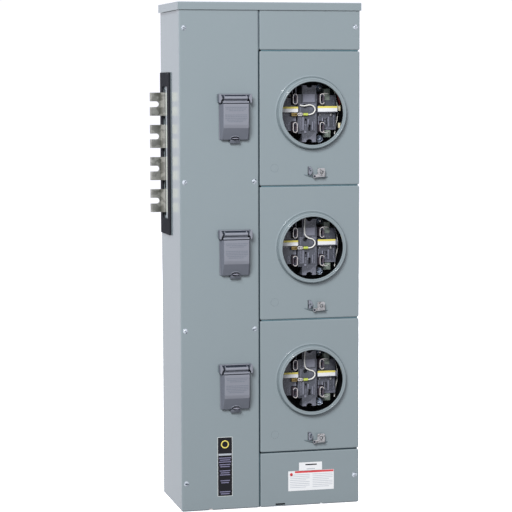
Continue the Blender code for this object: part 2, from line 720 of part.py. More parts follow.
def paints():
    return {
        "paint": material("painted_steel", (0.28, 0.33, 0.36), 0.38),
        "inner": material("plated_frame", (0.30, 0.32, 0.34), 0.45, 0.6),
        "lid": material("lid_plastic", (0.27, 0.28, 0.33), 0.50),
        "black": material("black_insulation", (0.05, 0.05, 0.055), 0.55),
        "socket": material("socket_plastic", (0.06, 0.06, 0.07), 0.45),
        "bus": material("tin_plated_bus", (0.42, 0.42, 0.38), 0.35, 0.9),
        "copper": material("plated_copper", (0.60, 0.57, 0.50), 0.30, 1.0),
        "zinc": material("zinc_plate", (0.62, 0.61, 0.60), 0.30, 1.0),
        "wire": material("white_insulation", (0.80, 0.80, 0.78), 0.40),
        "breaker": material("breaker_plastic", (0.03, 0.03, 0.03), 0.50),
    }


def build_shell(paint):
    place("enclosure_box", finish(enclosure_box()), paint["paint"])
    place("rain_cap", finish(rain_cap()), paint["paint"])
    place("breaker_cover", finish(breaker_cover()), paint["paint"])
    place("upper_cover", finish(upper_cover()), paint["paint"])
    place("lower_cover", finish(lower_cover()), paint["paint"])
    place("meter_frame", finish(meter_frame()), paint["inner"])
    screw = finish(cover_screw())
    for name, x, z in SCREWS:
        place(name, screw, paint["zinc"], (x, FRONT - 0.0003, z))


def build_bus(paint):
    place("bus_bezel", finish(bus_bezel()), paint["black"])
    bar = finish(cross_bus())
    for i, name in enumerate(BUS_NAMES):
        place(name, bar, paint["bus"], (0, 0, BUS_TOP_Z - i * BUS_PITCH))
    place("bus_support_left", finish(bus_support(-0.160)), paint["black"])
    place("bus_support_right", finish(bus_support(0.200)), paint["black"])
    place("riser_bar_left", finish(riser_bar(METER_X - JAW_X, 0)), paint["copper"])
    place("riser_bar_right", finish(riser_bar(METER_X + JAW_X, 1)), paint["copper"])
    place("ground_bar", finish(ground_bar()), paint["copper"])


def build_units(paint):
    cover_hinge = (0, FRONT, UNIT_BELOW_SEAM - SEAM / 2)
    latch_pivot = (LATCH_X, FRONT, -LATCH_DROP)
    lid_hinge = (LID_X, FRONT - LID_HINGE_OUT, LID_HINGE_RISE)
    toggle_pivot = (LID_X, TOGGLE_Y, -BREAKER_DROP)
    left_x = METER_X - JAW_X
    right_x = METER_X + JAW_X
    shared = {
        "meter_cover": (finish(meter_cover(), cover_hinge), "paint", cover_hinge),
        "cover_latch": (finish(cover_latch(), latch_pivot), "zinc", latch_pivot),
        "socket_base": (finish(socket_base()), "socket", (0, 0, 0)),
        "line_jaw_left": (finish(line_jaw()), "copper", (left_x, 0, JAW_Z)),
        "load_jaw_left": (finish(load_jaw(left_x, 0.0)), "copper", (left_x, 0, -JAW_Z)),
        "load_jaw_right": (finish(load_jaw(right_x, 0.038)), "copper", (right_x, 0, -JAW_Z)),
        "breaker_case": (finish(breaker_case()), "breaker", (0, 0, 0)),
        "breaker_toggle": (finish(breaker_toggle()), "breaker", toggle_pivot),
        "lid_frame": (finish(lid_frame()), "lid", lid_hinge),
        "breaker_lid": (finish(breaker_lid()), "lid", lid_hinge),
    }
    shared["line_jaw_right"] = (shared["line_jaw_left"][0], "copper", (right_x, 0, JAW_Z))
    wires = [finish(neutral_wire(wire_points(unit > 0))) for unit in range(2)]
    for unit in range(UNITS):
        centre = anchor(f"unit_{unit + 1}", (0, 0, unit_centre(unit)))
        for name, (mesh, finish_name, location) in shared.items():
            piece = place(f"{name}_{unit + 1}", mesh, paint[finish_name], location, centre)
            if name == "breaker_toggle":
                piece.rotation_euler.z = math.radians(TOGGLE_REST_DEG)
        place(f"neutral_wire_{unit + 1}", wires[min(unit, 1)], paint["wire"], (0, 0, 0), centre)


def main():
    clear_scene()
    paint = paints()
    build_shell(paint)
    build_bus(paint)
    build_units(paint)


main()
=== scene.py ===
"""Looks of the three-socket meter enclosure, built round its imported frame.

Each new piece stands for a CAD node, or sits on one, and moves with that node's body.
Lengths are metres. +X runs to the right, +Y into the wall and +Z up.
"""

import json
import math

import bmesh
import bpy
from mathutils import Matrix, Vector


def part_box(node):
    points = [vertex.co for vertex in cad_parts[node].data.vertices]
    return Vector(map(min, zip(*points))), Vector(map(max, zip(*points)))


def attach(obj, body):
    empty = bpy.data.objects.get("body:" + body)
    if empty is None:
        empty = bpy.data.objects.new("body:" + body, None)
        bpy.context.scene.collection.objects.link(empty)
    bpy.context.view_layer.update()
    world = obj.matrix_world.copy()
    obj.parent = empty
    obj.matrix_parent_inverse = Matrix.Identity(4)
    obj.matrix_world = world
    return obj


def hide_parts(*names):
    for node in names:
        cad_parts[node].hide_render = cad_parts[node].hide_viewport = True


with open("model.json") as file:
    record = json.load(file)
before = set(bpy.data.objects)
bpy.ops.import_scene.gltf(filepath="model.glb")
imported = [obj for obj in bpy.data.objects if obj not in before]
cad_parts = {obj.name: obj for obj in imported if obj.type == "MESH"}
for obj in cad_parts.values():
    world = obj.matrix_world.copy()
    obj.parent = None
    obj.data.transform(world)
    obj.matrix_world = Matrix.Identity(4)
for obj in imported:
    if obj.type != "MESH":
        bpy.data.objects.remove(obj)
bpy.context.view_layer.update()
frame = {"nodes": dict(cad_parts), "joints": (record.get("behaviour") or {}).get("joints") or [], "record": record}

# ---------------------------------------------------------------- dimensions

UNITS = (1, 2, 3)
ROOT = "enclosure"
PIVOT = {joint["name"]: Vector(joint["pos_m"]) for joint in frame["joints"]}
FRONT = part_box("upper_cover")[0].y
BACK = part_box("enclosure_box")[1].y
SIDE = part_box("upper_cover")[1].x
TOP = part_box("rain_cap")[1].z

SHEET = 0.0016
BEND = 0.0030
COVER_CORNER = 0.0042
COVER_RETURN = 0.012
COVER_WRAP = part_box("upper_cover")[1].y - FRONT
BOX_LIP = 0.018

RING_STEPS = 144
OPENING_RADIUS = 0.0818
COLLAR_OUT = 0.0142
KNOCKOUT_X = 0.010
KNOCKOUT_RISE = 0.0455
KNOCKOUT_RADIUS = 0.0101

# The joggle of the bus bars outside the wall, and the round end of their bolt slots.
BUS_BEND_X = -0.2400
BUS_THICK = 0.006
BUS_SLOT_RADIUS = 0.0075
BUS_SLOT_DEEP = 0.0165

# The breaker lids, measured from the hinge axis.
LID_OPENING = (0.028, 0.073)
LID_WALL = 0.0094
LID_OUT = -0.0146
LID_TOP = -0.0181
LID_BREAK = -0.0706
LID_CREASE = -0.0752
LID_BOTTOM = -0.1108
LID_HEEL = 0.0030
LID_ARM = 0.0305
LID_STEP = 0.0024
HASP_Z = -0.1068
HASP_HALF = 0.0086
PIN_HOLE = 0.0027

# The latch on each meter cover, measured from its pivot.
SEAL_HOLE = (0.0184, 0.0112)
SEAL_FIN_FOOT = (-0.0128, 0.0035)
SEAL_FIN_HEIGHT = 0.0228
SILL_AT = (0.0068, -0.0040)
SILL_HALF = 0.0325
SILL_OUT = 0.0052

JAWS = ("line_jaw_left", "line_jaw_right", "load_jaw_left", "load_jaw_right")
RIDGE_Z = (0.0022, 0.0170)
NEUTRAL_Z = -0.0035

STICKER_THICK = 0.00012
NAMEPLATE_X = -0.12475


def opening_centre(unit):
    """Centre of a meter opening as (x, z), from the space that the meter needs."""
    low, high = frame["record"]["physics"]["openings"][unit - 1]["box_m"]
    return (low[0] + high[0]) / 2, (low[2] + high[2]) / 2


# ---------------------------------------------------------------- materials

def linear(red, green, blue):
    """Scene-linear colour of an sRGB triple from 0 to 255."""
    def channel(value):
        value /= 255
        return value / 12.92 if value <= 0.04045 else ((value + 0.055) / 1.055) ** 2.4
    return channel(red), channel(green), channel(blue), 1.0


def scaled(colour, factor):
    return tuple(min(1.0, part * factor) for part in colour[:3]) + (1.0,)


class Graph:
    """Shorthand for one material's node tree."""

    def __init__(self, name):
        self.material = bpy.data.materials.new(name)
        self.material.use_nodes = True
        self.tree = self.material.node_tree
        self.shader = self.tree.nodes["Principled BSDF"]
        self.place = self.node("ShaderNodeTexCoord").outputs["Object"]

    def fill(self, node, inputs):
        """Gives a node's inputs their values, and links those whose value is another node's output."""
        for key, value in inputs.items():
            if isinstance(value, bpy.types.NodeSocket):
                self.tree.links.new(value, node.inputs[key])
            else:
                node.inputs[key].default_value = value

    def node(self, kind, inputs=None, **settings):
        made = self.tree.nodes.new(kind)
        for key, value in settings.items():
            setattr(made, key, value)
        self.fill(made, inputs or {})
        return made

    def noise(self, scale, detail=3.0, stretch=(1, 1, 1)):
        """A noise value, its space stretched along the axes by the given factors."""
        mapping = self.node("ShaderNodeMapping", {"Scale": stretch, "Vector": self.place})
        inputs = {"Scale": scale, "Detail": detail, "Vector": mapping.outputs["Vector"]}
        return self.node("ShaderNodeTexNoise", inputs).outputs["Fac"]

    def remap(self, value, low, high, out_low, out_high):
        inputs = {"Value": value, "From Min": low, "From Max": high, "To Min": out_low, "To Max": out_high}
        return self.node("ShaderNodeMapRange", inputs).outputs["Result"]

    def mix(self, factor, first, second, blend="MIX"):
        """A mix of two colours. Each of the three may be another node's output."""
        inputs = {0: factor, 6: first, 7: second}
        return self.node("ShaderNodeMix", inputs, data_type="RGBA", blend_type=blend).outputs[2]

    def bump(self, height, distance, before=None):
        inputs = {"Strength": 1.0, "Distance": distance, "Height": height}
        if before is not None:
            inputs["Normal"] = before
        return self.node("ShaderNodeBump", inputs).outputs["Normal"]

    def crevice(self, distance):
        """0 where a point is fully shut in, up to 1 where it is nearly open."""
        made = self.node("ShaderNodeAmbientOcclusion", {"Distance": distance}, samples=8)
        return self.remap(made.outputs["AO"], 0.0, 0.8, 0.0, 1.0)

    def edges(self):
        made = self.node("ShaderNodeNewGeometry")
        return self.remap(made.outputs["Pointiness"], 0.53, 0.60, 0.0, 1.0)


def ray_kind(tree, base, camera, glossy):
    """A number that is base for diffuse light, and changes by the given steps for seen and mirrored rays."""
    path = tree.nodes.new("ShaderNodeLightPath")
    value = None
    for output, step in (("Is Camera Ray", camera), ("Is Glossy Ray", glossy)):
        add = tree.nodes.new("ShaderNodeMath")
        add.operation = "MULTIPLY_ADD"
        tree.links.new(path.outputs[output], add.inputs[0])
        add.inputs[1].default_value = step
        add.inputs[2].default_value = base
        if value is not None:
            tree.links.new(value, add.inputs[2])
        value = add.outputs[0]
    return value


def surface(name, rgb, roughness, metallic=0.0, tone=0.05, tone_scale=7.0, grain=(1400, 0.00002),
            ripple=None, brush=None, speckle=None, painted_corner_shade=None, wear_and_edge_highlight=None, spread=0.05, painted_glow=0.0, specular=0.5):
    """A finish with varied tone, roughness and relief. Its colours are sRGB triples.

    grain and ripple are (scale, depth) of fine and broad relief, and brush is the stretch of drawn metal.
    speckle is (scale, colour, share). The shade pair is the (distance, colour) of painted shade that darkens
    corners and crevices.
    The edge colour is what sharp edges lighten to: rubbed wear and painted highlight in one. The glow is the
    strength of a painted glow that only mirrored rays see.
    """
    graph = Graph(name)
    colour = linear(*rgb)
    stretch = brush or (1, 1, 1)
    base = graph.mix(graph.noise(tone_scale, 5.0), scaled(colour, 1 - tone), scaled(colour, 1 + tone))
    if brush:
        lines = graph.remap(graph.noise(90, 4.0, stretch), 0.35, 0.65, 0.0, 1.0)
        base = graph.mix(lines, base, scaled(colour, 0.78))
    if speckle:
        scale, fleck, share = speckle
        flecks = graph.remap(graph.noise(scale, 2.0), 1 - share, 1 - share + 0.08, 0.0, 1.0)
        base = graph.mix(flecks, base, linear(*fleck))
    # Sharp edges lighten: rubbed wear and a painted highlight in one.
    if wear_and_edge_highlight:
        base = graph.mix(graph.edges(), base, linear(*wear_and_edge_highlight))
    # Painted shade: the colour darkens in corners and crevices, where shade falls.
    if painted_corner_shade:
        base = graph.mix(graph.crevice(painted_corner_shade[0]), linear(*painted_corner_shade[1]), base)
    rough = graph.remap(graph.noise(28, 4.0, stretch), 0.3, 0.7, roughness - spread, roughness + spread)
    relief = graph.bump(graph.noise(grain[0], 2.0, stretch), grain[1])
    if ripple:
        relief = graph.bump(graph.noise(ripple[0], 1.0), ripple[1], relief)
    graph.fill(graph.shader, {"Base Color": base, "Roughness": rough, "Normal": relief,
                              "Metallic": metallic, "Specular IOR Level": specular})
    # Painted glow: light that only mirrored rays see, so reflections of the part look brighter.
    if painted_glow:
        strength = ray_kind(graph.tree, 0.0, 0.0, painted_glow)
        graph.fill(graph.shader, {"Emission Color": colour, "Emission Strength": strength})
    return graph.material


def painted_finishes():
    """Enclosure paint, the sill, the ledges behind the seams and the inner steel. The sill and ledge paints are
    darker copies of the enclosure paint, painted shade.
    """
    made = {
        "paint": surface("enclosure_paint", (136, 148, 153), 0.15, tone=0.02, tone_scale=3.0,
                         grain=(900, 0.000004), ripple=(5, 0.00012), painted_corner_shade=(0.006, (38, 54, 60)), spread=0.02),
        # The sill: enclosure paint made darker, painted shade of its underside and cast shadow.
        "sill": surface("sill_painted_shade", (108, 122, 128), 0.40, tone=0.04),
        "inner": surface("inner_steel", (44, 45, 49), 0.55, 0.35, tone=0.15, painted_corner_shade=(0.02, (8, 8, 10))),
    }
    # Ledge paint in three strengths of painted shade, pale, middle and deep: the deeper the seam, the darker.
    for tail, rgb in (("", (88, 118, 128)), ("_pale", (132, 148, 158)), ("_deep", (38, 64, 76))):
        made["seam" + tail] = surface("seam_painted_shade" + tail, rgb, 0.5, tone=0.03, tone_scale=12)
    return made


def plastic_finishes():
    """The lids, the bezel, the sockets and what is moulded on them, and the wires' insulation."""
    return {
        "lid": surface("lid_plastic", (137, 140, 150), 0.60, tone=0.02, grain=(1600, 0.00003),
                       painted_corner_shade=(0.016, (58, 64, 78)), spread=0.06, specular=0.12),
        # Darker copy of the lid plastic for walls and downward faces: painted shade, with a coarser grain.
        "lid_painted_shade": surface("lid_plastic_painted_shade", (114, 118, 128), 0.66, tone=0.03, grain=(1600, 0.00006),
                            painted_corner_shade=(0.016, (50, 56, 70)), spread=0.06, specular=0.10),
        # A darker copy of the lid plastic for the raised dashes: painted shade of their relief.
        "lid_mark": surface("lid_plastic_rib_shade", (120, 128, 139), 0.60, tone=0.02, specular=0.12),
        "black": surface("bezel_plastic", (45, 46, 51), 0.70, grain=(1500, 0.00005),
                         painted_corner_shade=(0.008, (20, 20, 24)), specular=0.02),
        "breaker": surface("breaker_phenolic", (34, 34, 36), 0.42, tone=0.1, wear_and_edge_highlight=(70, 70, 74)),
        # Its light flecks are chips and painted glints in one, and its light edge colour likewise.
        "socket": surface("socket_polyester", (78, 81, 90), 0.28, tone=0.18, tone_scale=55,
                          grain=(380, 0.00036), speckle=(380, (142, 146, 160), 0.36),
                          painted_corner_shade=(0.008, (30, 30, 40)), wear_and_edge_highlight=(150, 152, 168), spread=0.10),
        # Pale glossy plastic for fine ribs that stand as painted glints on the socket.
        "glint": surface("painted_glint_rib", (168, 170, 188), 0.22, tone=0.20, tone_scale=200,
                         speckle=(500, (96, 98, 110), 0.45), specular=0.8),
        # Dark colour for the jaws, painted shade of the recesses they sit in.
        "recess": surface("jaw_painted_recess_shade", (84, 76, 86), 0.5, tone=0.25, tone_scale=160),
        "lug": surface("green_grey_insulator", (138, 150, 140), 0.28, tone=0.10, tone_scale=40,
                       painted_corner_shade=(0.01, (30, 36, 34)), specular=0.6),
        "white_wire": surface("white_insulation", (236, 236, 232), 0.32, tone=0.04, grain=(300, 0.00002),
                              painted_corner_shade=(0.004, (150, 148, 140))),
        "cream_wire": surface("cream_insulation", (226, 218, 184), 0.35, tone=0.04, grain=(300, 0.00002)),
        "red_wire": surface("dark_red_insulation", (96, 26, 30), 0.35, grain=(300, 0.00002)),
        "sleeve": surface("yellow_green_sleeve", (190, 204, 92), 0.35),
    }


def metal_finishes():
    """Bus bars, jaws, screws, latches and the padlock staple."""
    return {
        # The bars' painted glow: mirrored rays see them lit, so their reflections in the side panel look brighter.
        "bus": surface("tin_plated_bar", (164, 164, 154), 0.34, 0.8, tone=0.08, tone_scale=40,
                       brush=(1, 1, 9), grain=(500, 0.00003), speckle=(55, (112, 112, 103), 0.55),
                       painted_corner_shade=(0.008, (60, 60, 55)), wear_and_edge_highlight=(215, 215, 210), painted_glow=2.6),
        "copper": surface("tin_plated_copper", (190, 180, 160), 0.36, 0.8, tone=0.08, brush=(9, 1, 1)),
        "clip": surface("jaw_tin", (236, 232, 230), 0.34, 0.35, tone=0.06, tone_scale=80,
                        painted_corner_shade=(0.003, (80, 74, 78))),
        "brass": surface("brass_blade", (158, 138, 88), 0.30, 0.9, tone=0.10, tone_scale=90,
                         painted_corner_shade=(0.004, (60, 48, 24))),
        "zinc": surface("bright_zinc", (190, 190, 190), 0.30, 0.9, tone=0.16, tone_scale=110,
                        grain=(500, 0.00004), speckle=(190, (134, 132, 130), 0.45),
                        painted_corner_shade=(0.004, (60, 62, 72))),
        "screw": surface("blued_screw", (214, 222, 230), 0.26, 0.6, tone=0.16, tone_scale=110,
                         speckle=(170, (60, 74, 90), 0.44), painted_corner_shade=(0.004, (50, 62, 70))),
        # Its light edge colour is a painted highlight on the lug screws.
        "dark_zinc": surface("blued_zinc", (116, 128, 146), 0.22, 0.6, tone=0.14, tone_scale=90,
                             painted_corner_shade=(0.004, (20, 28, 36)), wear_and_edge_highlight=(226, 232, 240)),
        "dull_zinc": surface("dull_zinc", (146, 150, 160), 0.45, 0.6, tone=0.10, tone_scale=90,
                             speckle=(200, (70, 78, 90), 0.45), painted_corner_shade=(0.005, (34, 40, 50))),
        "staple": surface("staple_zinc", (150, 150, 162), 0.45, 0.3, tone=0.08, tone_scale=90,
                          painted_corner_shade=(0.004, (60, 66, 78)), specular=0.2),
        # Dark steel whose darkness is painted shade: the hinge pin, the strip above it and the jaws' eyes; the
        # latch rivet uses it too.
        "pin": surface("hinge_pin_painted_shade", (44, 50, 62), 0.50, 0.2, tone=0.06),
    }


def sticker_finishes():
    """Plain printed plates and bands."""
    made = {
        "sticker_white": surface("sticker_white", (236, 238, 240), 0.40, tone=0.02, grain=(900, 0.00001)),
        "sticker_black": surface("sticker_black", (30, 30, 34), 0.40, grain=(900, 0.00001), specular=0.15),
        "sticker_rim": surface("sticker_rim", (206, 212, 212), 0.40, tone=0.02),
    }
    inks = {"red": (214, 72, 76), "yellow": (232, 218, 110),
            "grey": (176, 182, 190), "slate": (124, 122, 150)}
    for ink, rgb in inks.items():
        made["sticker_" + ink] = surface("sticker_" + ink, rgb, 0.40, tone=0.04)
    return made


MAT = {**painted_finishes(), **plastic_finishes(), **metal_finishes(), **sticker_finishes()}


# ---------------------------------------------------------------- mesh tools

def shape(bm):
    """A working object that holds the mesh of bm."""
    mesh = bpy.data.meshes.new("shape")
    bmesh.ops.recalc_face_normals(bm, faces=bm.faces)
    bm.to_mesh(mesh)
    bm.free()
    obj = bpy.data.objects.new("shape", mesh)
    bpy.context.scene.collection.objects.link(obj)
    return obj


def bake(obj):
    """Puts the result of an object's modifiers into its mesh."""
    graph = bpy.context.evaluated_depsgraph_get()
    result = bpy.data.meshes.new_from_object(obj.evaluated_get(graph))
    obj.modifiers.clear()
    obj.data = result
    return obj


def rounded(obj, width, segments=2, angle=50):
    """Rounds the edges that are sharper than angle."""
    bevel = obj.modifiers.new("round", "BEVEL")
    bevel.width = width
    bevel.segments = segments
    bevel.limit_method = "ANGLE"
    bevel.angle_limit = math.radians(angle)
    bevel.miter_outer = "MITER_ARC"
    return bake(obj)


def block(x, y, z):
    bm = bmesh.new()
    bmesh.ops.create_cube(bm, size=1.0)
    low = Vector((min(x), min(y), min(z)))
    size = Vector((max(x), max(y), max(z))) - low
    for vertex in bm.verts:
        vertex.co = Vector(low[i] + (vertex.co[i] + 0.5) * size[i] for i in range(3))
    return shape(bm)


def prism(outline, axis, span):
    """A flat outline pushed along an axis. The outline is in the other two axes, in X, Y, Z order."""
    across = [i for i in range(3) if i != axis]
    loops = []
    for level in span:
        loop = []
        for point in outline:
            place = [0.0, 0.0, 0.0]
            place[across[0]], place[across[1]] = point
            place[axis] = level
            loop.append(place)
        loops.append(loop)
    return skin(loops)


def arc(centre, radius, start_deg, end_deg, steps):
    angles = [math.radians(start_deg + (end_deg - start_deg) * i / steps) for i in range(steps + 1)]
    return [(centre[0] + radius * math.cos(a), centre[1] + radius * math.sin(a)) for a in angles]


def disc(centre, radius, axis, span, sides=32):
    return prism(arc(centre, radius, 0, 360 * (sides - 1) / sides, sides - 1), axis, span)


def stadium(centre, half_width, half_height, steps=8):
    """Outline of an upright slot: two half circles and straight sides."""
    straight = half_height - half_width
    top = arc((centre[0], centre[1] + straight), half_width, 0, 180, steps)
    return top + arc((centre[0], centre[1] - straight), half_width, 180, 360, steps)


def round_corners(x, z, radius, steps):
    """(point, outward normal) pairs of the arcs at a rectangle's corners, starting at the high, high one."""
    pairs = []
    for side_x, side_z, start in ((1, 1, 0), (0, 1, 90), (0, 0, 180), (1, 0, 270)):
        hub_x = x[1] - radius if side_x else x[0] + radius
        hub_z = z[1] - radius if side_z else z[0] + radius
        for point in arc((hub_x, hub_z), radius, start, start + 90, steps):
            pairs.append((point, ((point[0] - hub_x) / radius, (point[1] - hub_z) / radius)))
    return pairs


def round_rect(x, z, radius, steps):
    return [point for point, _ in round_corners(x, z, radius, steps)]


def skin(loops, closed=False):
    """A surface through loops of equally many points. It is capped at both ends, or closed on itself."""
    bm = bmesh.new()
    rings = [[bm.verts.new(point) for point in loop] for loop in loops]
    count = len(rings[0])
    pairs = list(zip(rings, rings[1:]))
    if closed:
        pairs.append((rings[-1], rings[0]))
    for here, after in pairs:
        for i in range(count):
            j = (i + 1) % count
            bm.faces.new((here[i], here[j], after[j], after[i]))
    if not closed:
        bm.faces.new(rings[0])
        bm.faces.new(list(reversed(rings[-1])))
    return shape(bm)


def turned(profile, centre, sides, squeeze=1.0):
    """A ring turned about a line along Y. Its profile is a loop of (radius, y); squeeze flattens it in Z."""
    loops = []
    for step in range(sides):
        angle = 2 * math.pi * step / sides
        cos = math.cos(angle)
        sin = math.sin(angle) * squeeze
        loops.append([(centre[0] + r * cos, y, centre[1] + r * sin) for r, y in profile])
    return skin(loops, closed=True)


def combine(base, tools, operation):
    for tool in tools:
        modifier = base.modifiers.new(operation, "BOOLEAN")
        modifier.operation = operation
        modifier.object = tool
        bake(base)
        bpy.data.objects.remove(tool)
    return base


def fuse(base, *others):
    return combine(base, others, "UNION")


def cut(base, *tools):
    return combine(base, tools, "DIFFERENCE")


def moved(obj, matrix):
    obj.data.transform(matrix)
    return obj


def shifted(obj, x, y, z):
    return moved(obj, Matrix.Translation((x, y, z)))


def spin(angle, axis):
    return Matrix.Rotation(angle, 4, axis)


def tube(points, radius, steps=6, sides=3):
    """A round wire with smooth bends through the given points."""
    curve = bpy.data.curves.new("wire", "CURVE")
    curve.dimensions = "3D"
    curve.bevel_depth = radius
    curve.bevel_resolution = sides
    curve.resolution_u = steps
    curve.use_fill_caps = True
    spline = curve.splines.new("BEZIER")
    spline.bezier_points.add(len(points) - 1)
    for bezier, point in zip(spline.bezier_points, points):
        bezier.co = point
        bezier.handle_left_type = "AUTO"
        bezier.handle_right_type = "AUTO"
    obj = bpy.data.objects.new("wire", curve)
    bpy.context.scene.collection.objects.link(obj)
    graph = bpy.context.evaluated_depsgraph_get()
    mesh = bpy.data.meshes.new_from_object(obj.evaluated_get(graph))
    bpy.data.objects.remove(obj)
    bm = bmesh.new()
    bm.from_mesh(mesh)
    bmesh.ops.remove_doubles(bm, verts=bm.verts, dist=1e-6)
    return shape(bm)


def piece(name, obj, material, body=ROOT, stands_for=None, angle=32):
    """Turns a working object into a named piece of the model that moves with a body.
    """
    materials = [material] if isinstance(material, str) else material
    obj.name = name
    obj.data.name = name
    obj.data.materials.clear()
    for item in materials:
        obj.data.materials.append(MAT[item])
    obj.data.shade_smooth()
    obj.data.set_sharp_from_angle(angle=math.radians(angle))
    weighted = obj.modifiers.new("flat faces stay flat", "WEIGHTED_NORMAL")
    weighted.keep_sharp = True
    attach(obj, body)
    if stands_for:
        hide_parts(stands_for)


# ---------------------------------------------------------------- covers

def rim_path(x, z, radius, centre, angles):
    """(point, outward normal) pairs round a rectangle with arcs at its corners, in order about the centre.

    Its straight sides get a point wherever a ray from the centre at one of the angles meets them.
    """
    pairs = round_corners(x, z, radius, 5)
    margin = radius + 0.0005
    for angle in angles:
        cos = math.cos(angle)
        sin = math.sin(angle)
        reach_x = ((x[1] if cos > 0 else x[0]) - centre[0]) / cos if abs(cos) > 1e-9 else math.inf
        reach_z = ((z[1] if sin > 0 else z[0]) - centre[1]) / sin if abs(sin) > 1e-9 else math.inf
        reach = min(reach_x, reach_z)
        point = (centre[0] + cos * reach, centre[1] + sin * reach)
        on_side = reach_x < reach_z
        along, limits = (point[1], z) if on_side else (point[0], x)
        if limits[0] + margin < along < limits[1] - margin:
            normal = (math.copysign(1, cos), 0.0) if on_side else (0.0, math.copysign(1, sin))
            pairs.append((point, normal))
    return sorted(pairs, key=lambda pair: math.atan2(pair[0][1] - centre[1], pair[0][0] - centre[0]))


def path_loop(path, inset, depth):
    """The path moved inwards, at a depth behind the covers' plane that may depend on the normal."""
    loop = []
    for point, normal in path:
        y = FRONT + (depth(normal) if callable(depth) else depth)
        loop.append((point[0] - normal[0] * inset, y, point[1] - normal[1] * inset))
    return loop


def pan_loops(path, wrapped_side):
    """Loops of a folded cover: face edge, bend, flange and inside. wrapped_side has the deep flange."""
    def reach(normal):
        return COVER_WRAP if normal[0] * wrapped_side > 0.999 else COVER_RETURN

    turns = [math.radians(18 * i) for i in range(6)]
    loops = [path_loop(path, BEND + 0.0008, 0.0)]
    loops += [path_loop(path, BEND * (1 - math.sin(a)), BEND * (1 - math.cos(a))) for a in turns]
    loops += [path_loop(path, 0.0, reach), path_loop(path, SHEET, reach)]
    inner = BEND - SHEET
    for a in reversed(turns):
        loops.append(path_loop(path, BEND - inner * math.sin(a), BEND - inner * math.cos(a)))
    return loops


def smoothed(points):
    """Two rounds of corner cutting on an open line of points, which keeps both ends."""
    for _ in range(2):
        cut_points = [points[0]]
        for a, b in zip(points, points[1:]):
            cut_points.append((a[0] * 0.75 + b[0] * 0.25, a[1] * 0.75 + b[1] * 0.25))
            cut_points.append((a[0] * 0.25 + b[0] * 0.75, a[1] * 0.25 + b[1] * 0.75))
        points = cut_points + [points[-1]]
    return points


def collar_sections(radius, out):
    """Front and back lines of the collar as (radius, height): a low bead, a groove, the wall, the seat."""
    front = [(0.0180, 0.0), (0.0166, 0.0), (0.0148, 0.0011), (0.0130, 0.0011), (0.0114, 0.0001),
             (0.0106, 0.0030), (0.0096, out - 0.0030), (0.0080, out - 0.0004), (0.0058, out),
             (0.0044, out - 0.0009), (0.0028, out), (0.0010, out), (0.0, out - 0.0016)]
    back = [(0.0, out - 0.0044), (0.0016, out - 0.0044), (0.0024, out - 0.0030), (0.0060, out - 0.0026),
            (0.0078, out - 0.0042), (0.0088, 0.0030), (0.0106, -0.0024), (0.0180, -SHEET)]
    return [smoothed([(radius + away, height) for away, height in line]) for line in (front, back)]


def meter_cover(unit):
    """Folded cover with the drawn collar, the latch's hole and slot and a faint knockout ring."""
    node = f"meter_cover_{unit}"
    low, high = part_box(node)
    cx, cz = opening_centre(unit)
    angles = [2 * math.pi * i / RING_STEPS for i in range(RING_STEPS)]
    path = rim_path((low.x, high.x), (low.z, high.z), COVER_CORNER, (cx, cz), angles)
    turns = [math.atan2(point[1] - cz, point[0] - cx) for point, _ in path]
    front, back = collar_sections(OPENING_RADIUS, COLLAR_OUT)
    loops = []
    for radius, height in list(reversed(back)) + list(reversed(front)):
        loops.append([(cx + radius * math.cos(a), FRONT - height, cz + radius * math.sin(a)) for a in turns])
    cover = skin(loops + pan_loops(path, 1), closed=True)
    pivot = PIVOT[f"latch_turn_{unit}"]
    through = (FRONT - 0.005, FRONT + 0.005)
    cut(cover, disc((pivot.x, pivot.z), 0.0040, 1, through, 24))
    cut(cover, block((pivot.x - 0.0156, pivot.x - 0.0132), through, (pivot.z + 0.0035, pivot.z + 0.0263)))
    groove = [(-0.0002, -0.001), (0.0002, -0.001), (0.0002, 0.0003), (-0.0002, 0.0003)]
    groove = [(KNOCKOUT_RADIUS + away, FRONT + deep) for away, deep in groove]
    cut(cover, turned(groove, (KNOCKOUT_X, low.z + KNOCKOUT_RISE), 48))
    piece(f"cover_panel_{unit}", cover, "paint", node, node)


def plain_cover(node, wrapped_side):
    """A folded cover without a collar, as big as its CAD node."""
    low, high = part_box(node)
    x = (low.x, high.x)
    z = (low.z, high.z)
    middle = ((low.x + high.x) / 2, (low.z + high.z) / 2)
    return skin(pan_loops(rim_path(x, z, COVER_CORNER, middle, ()), wrapped_side))


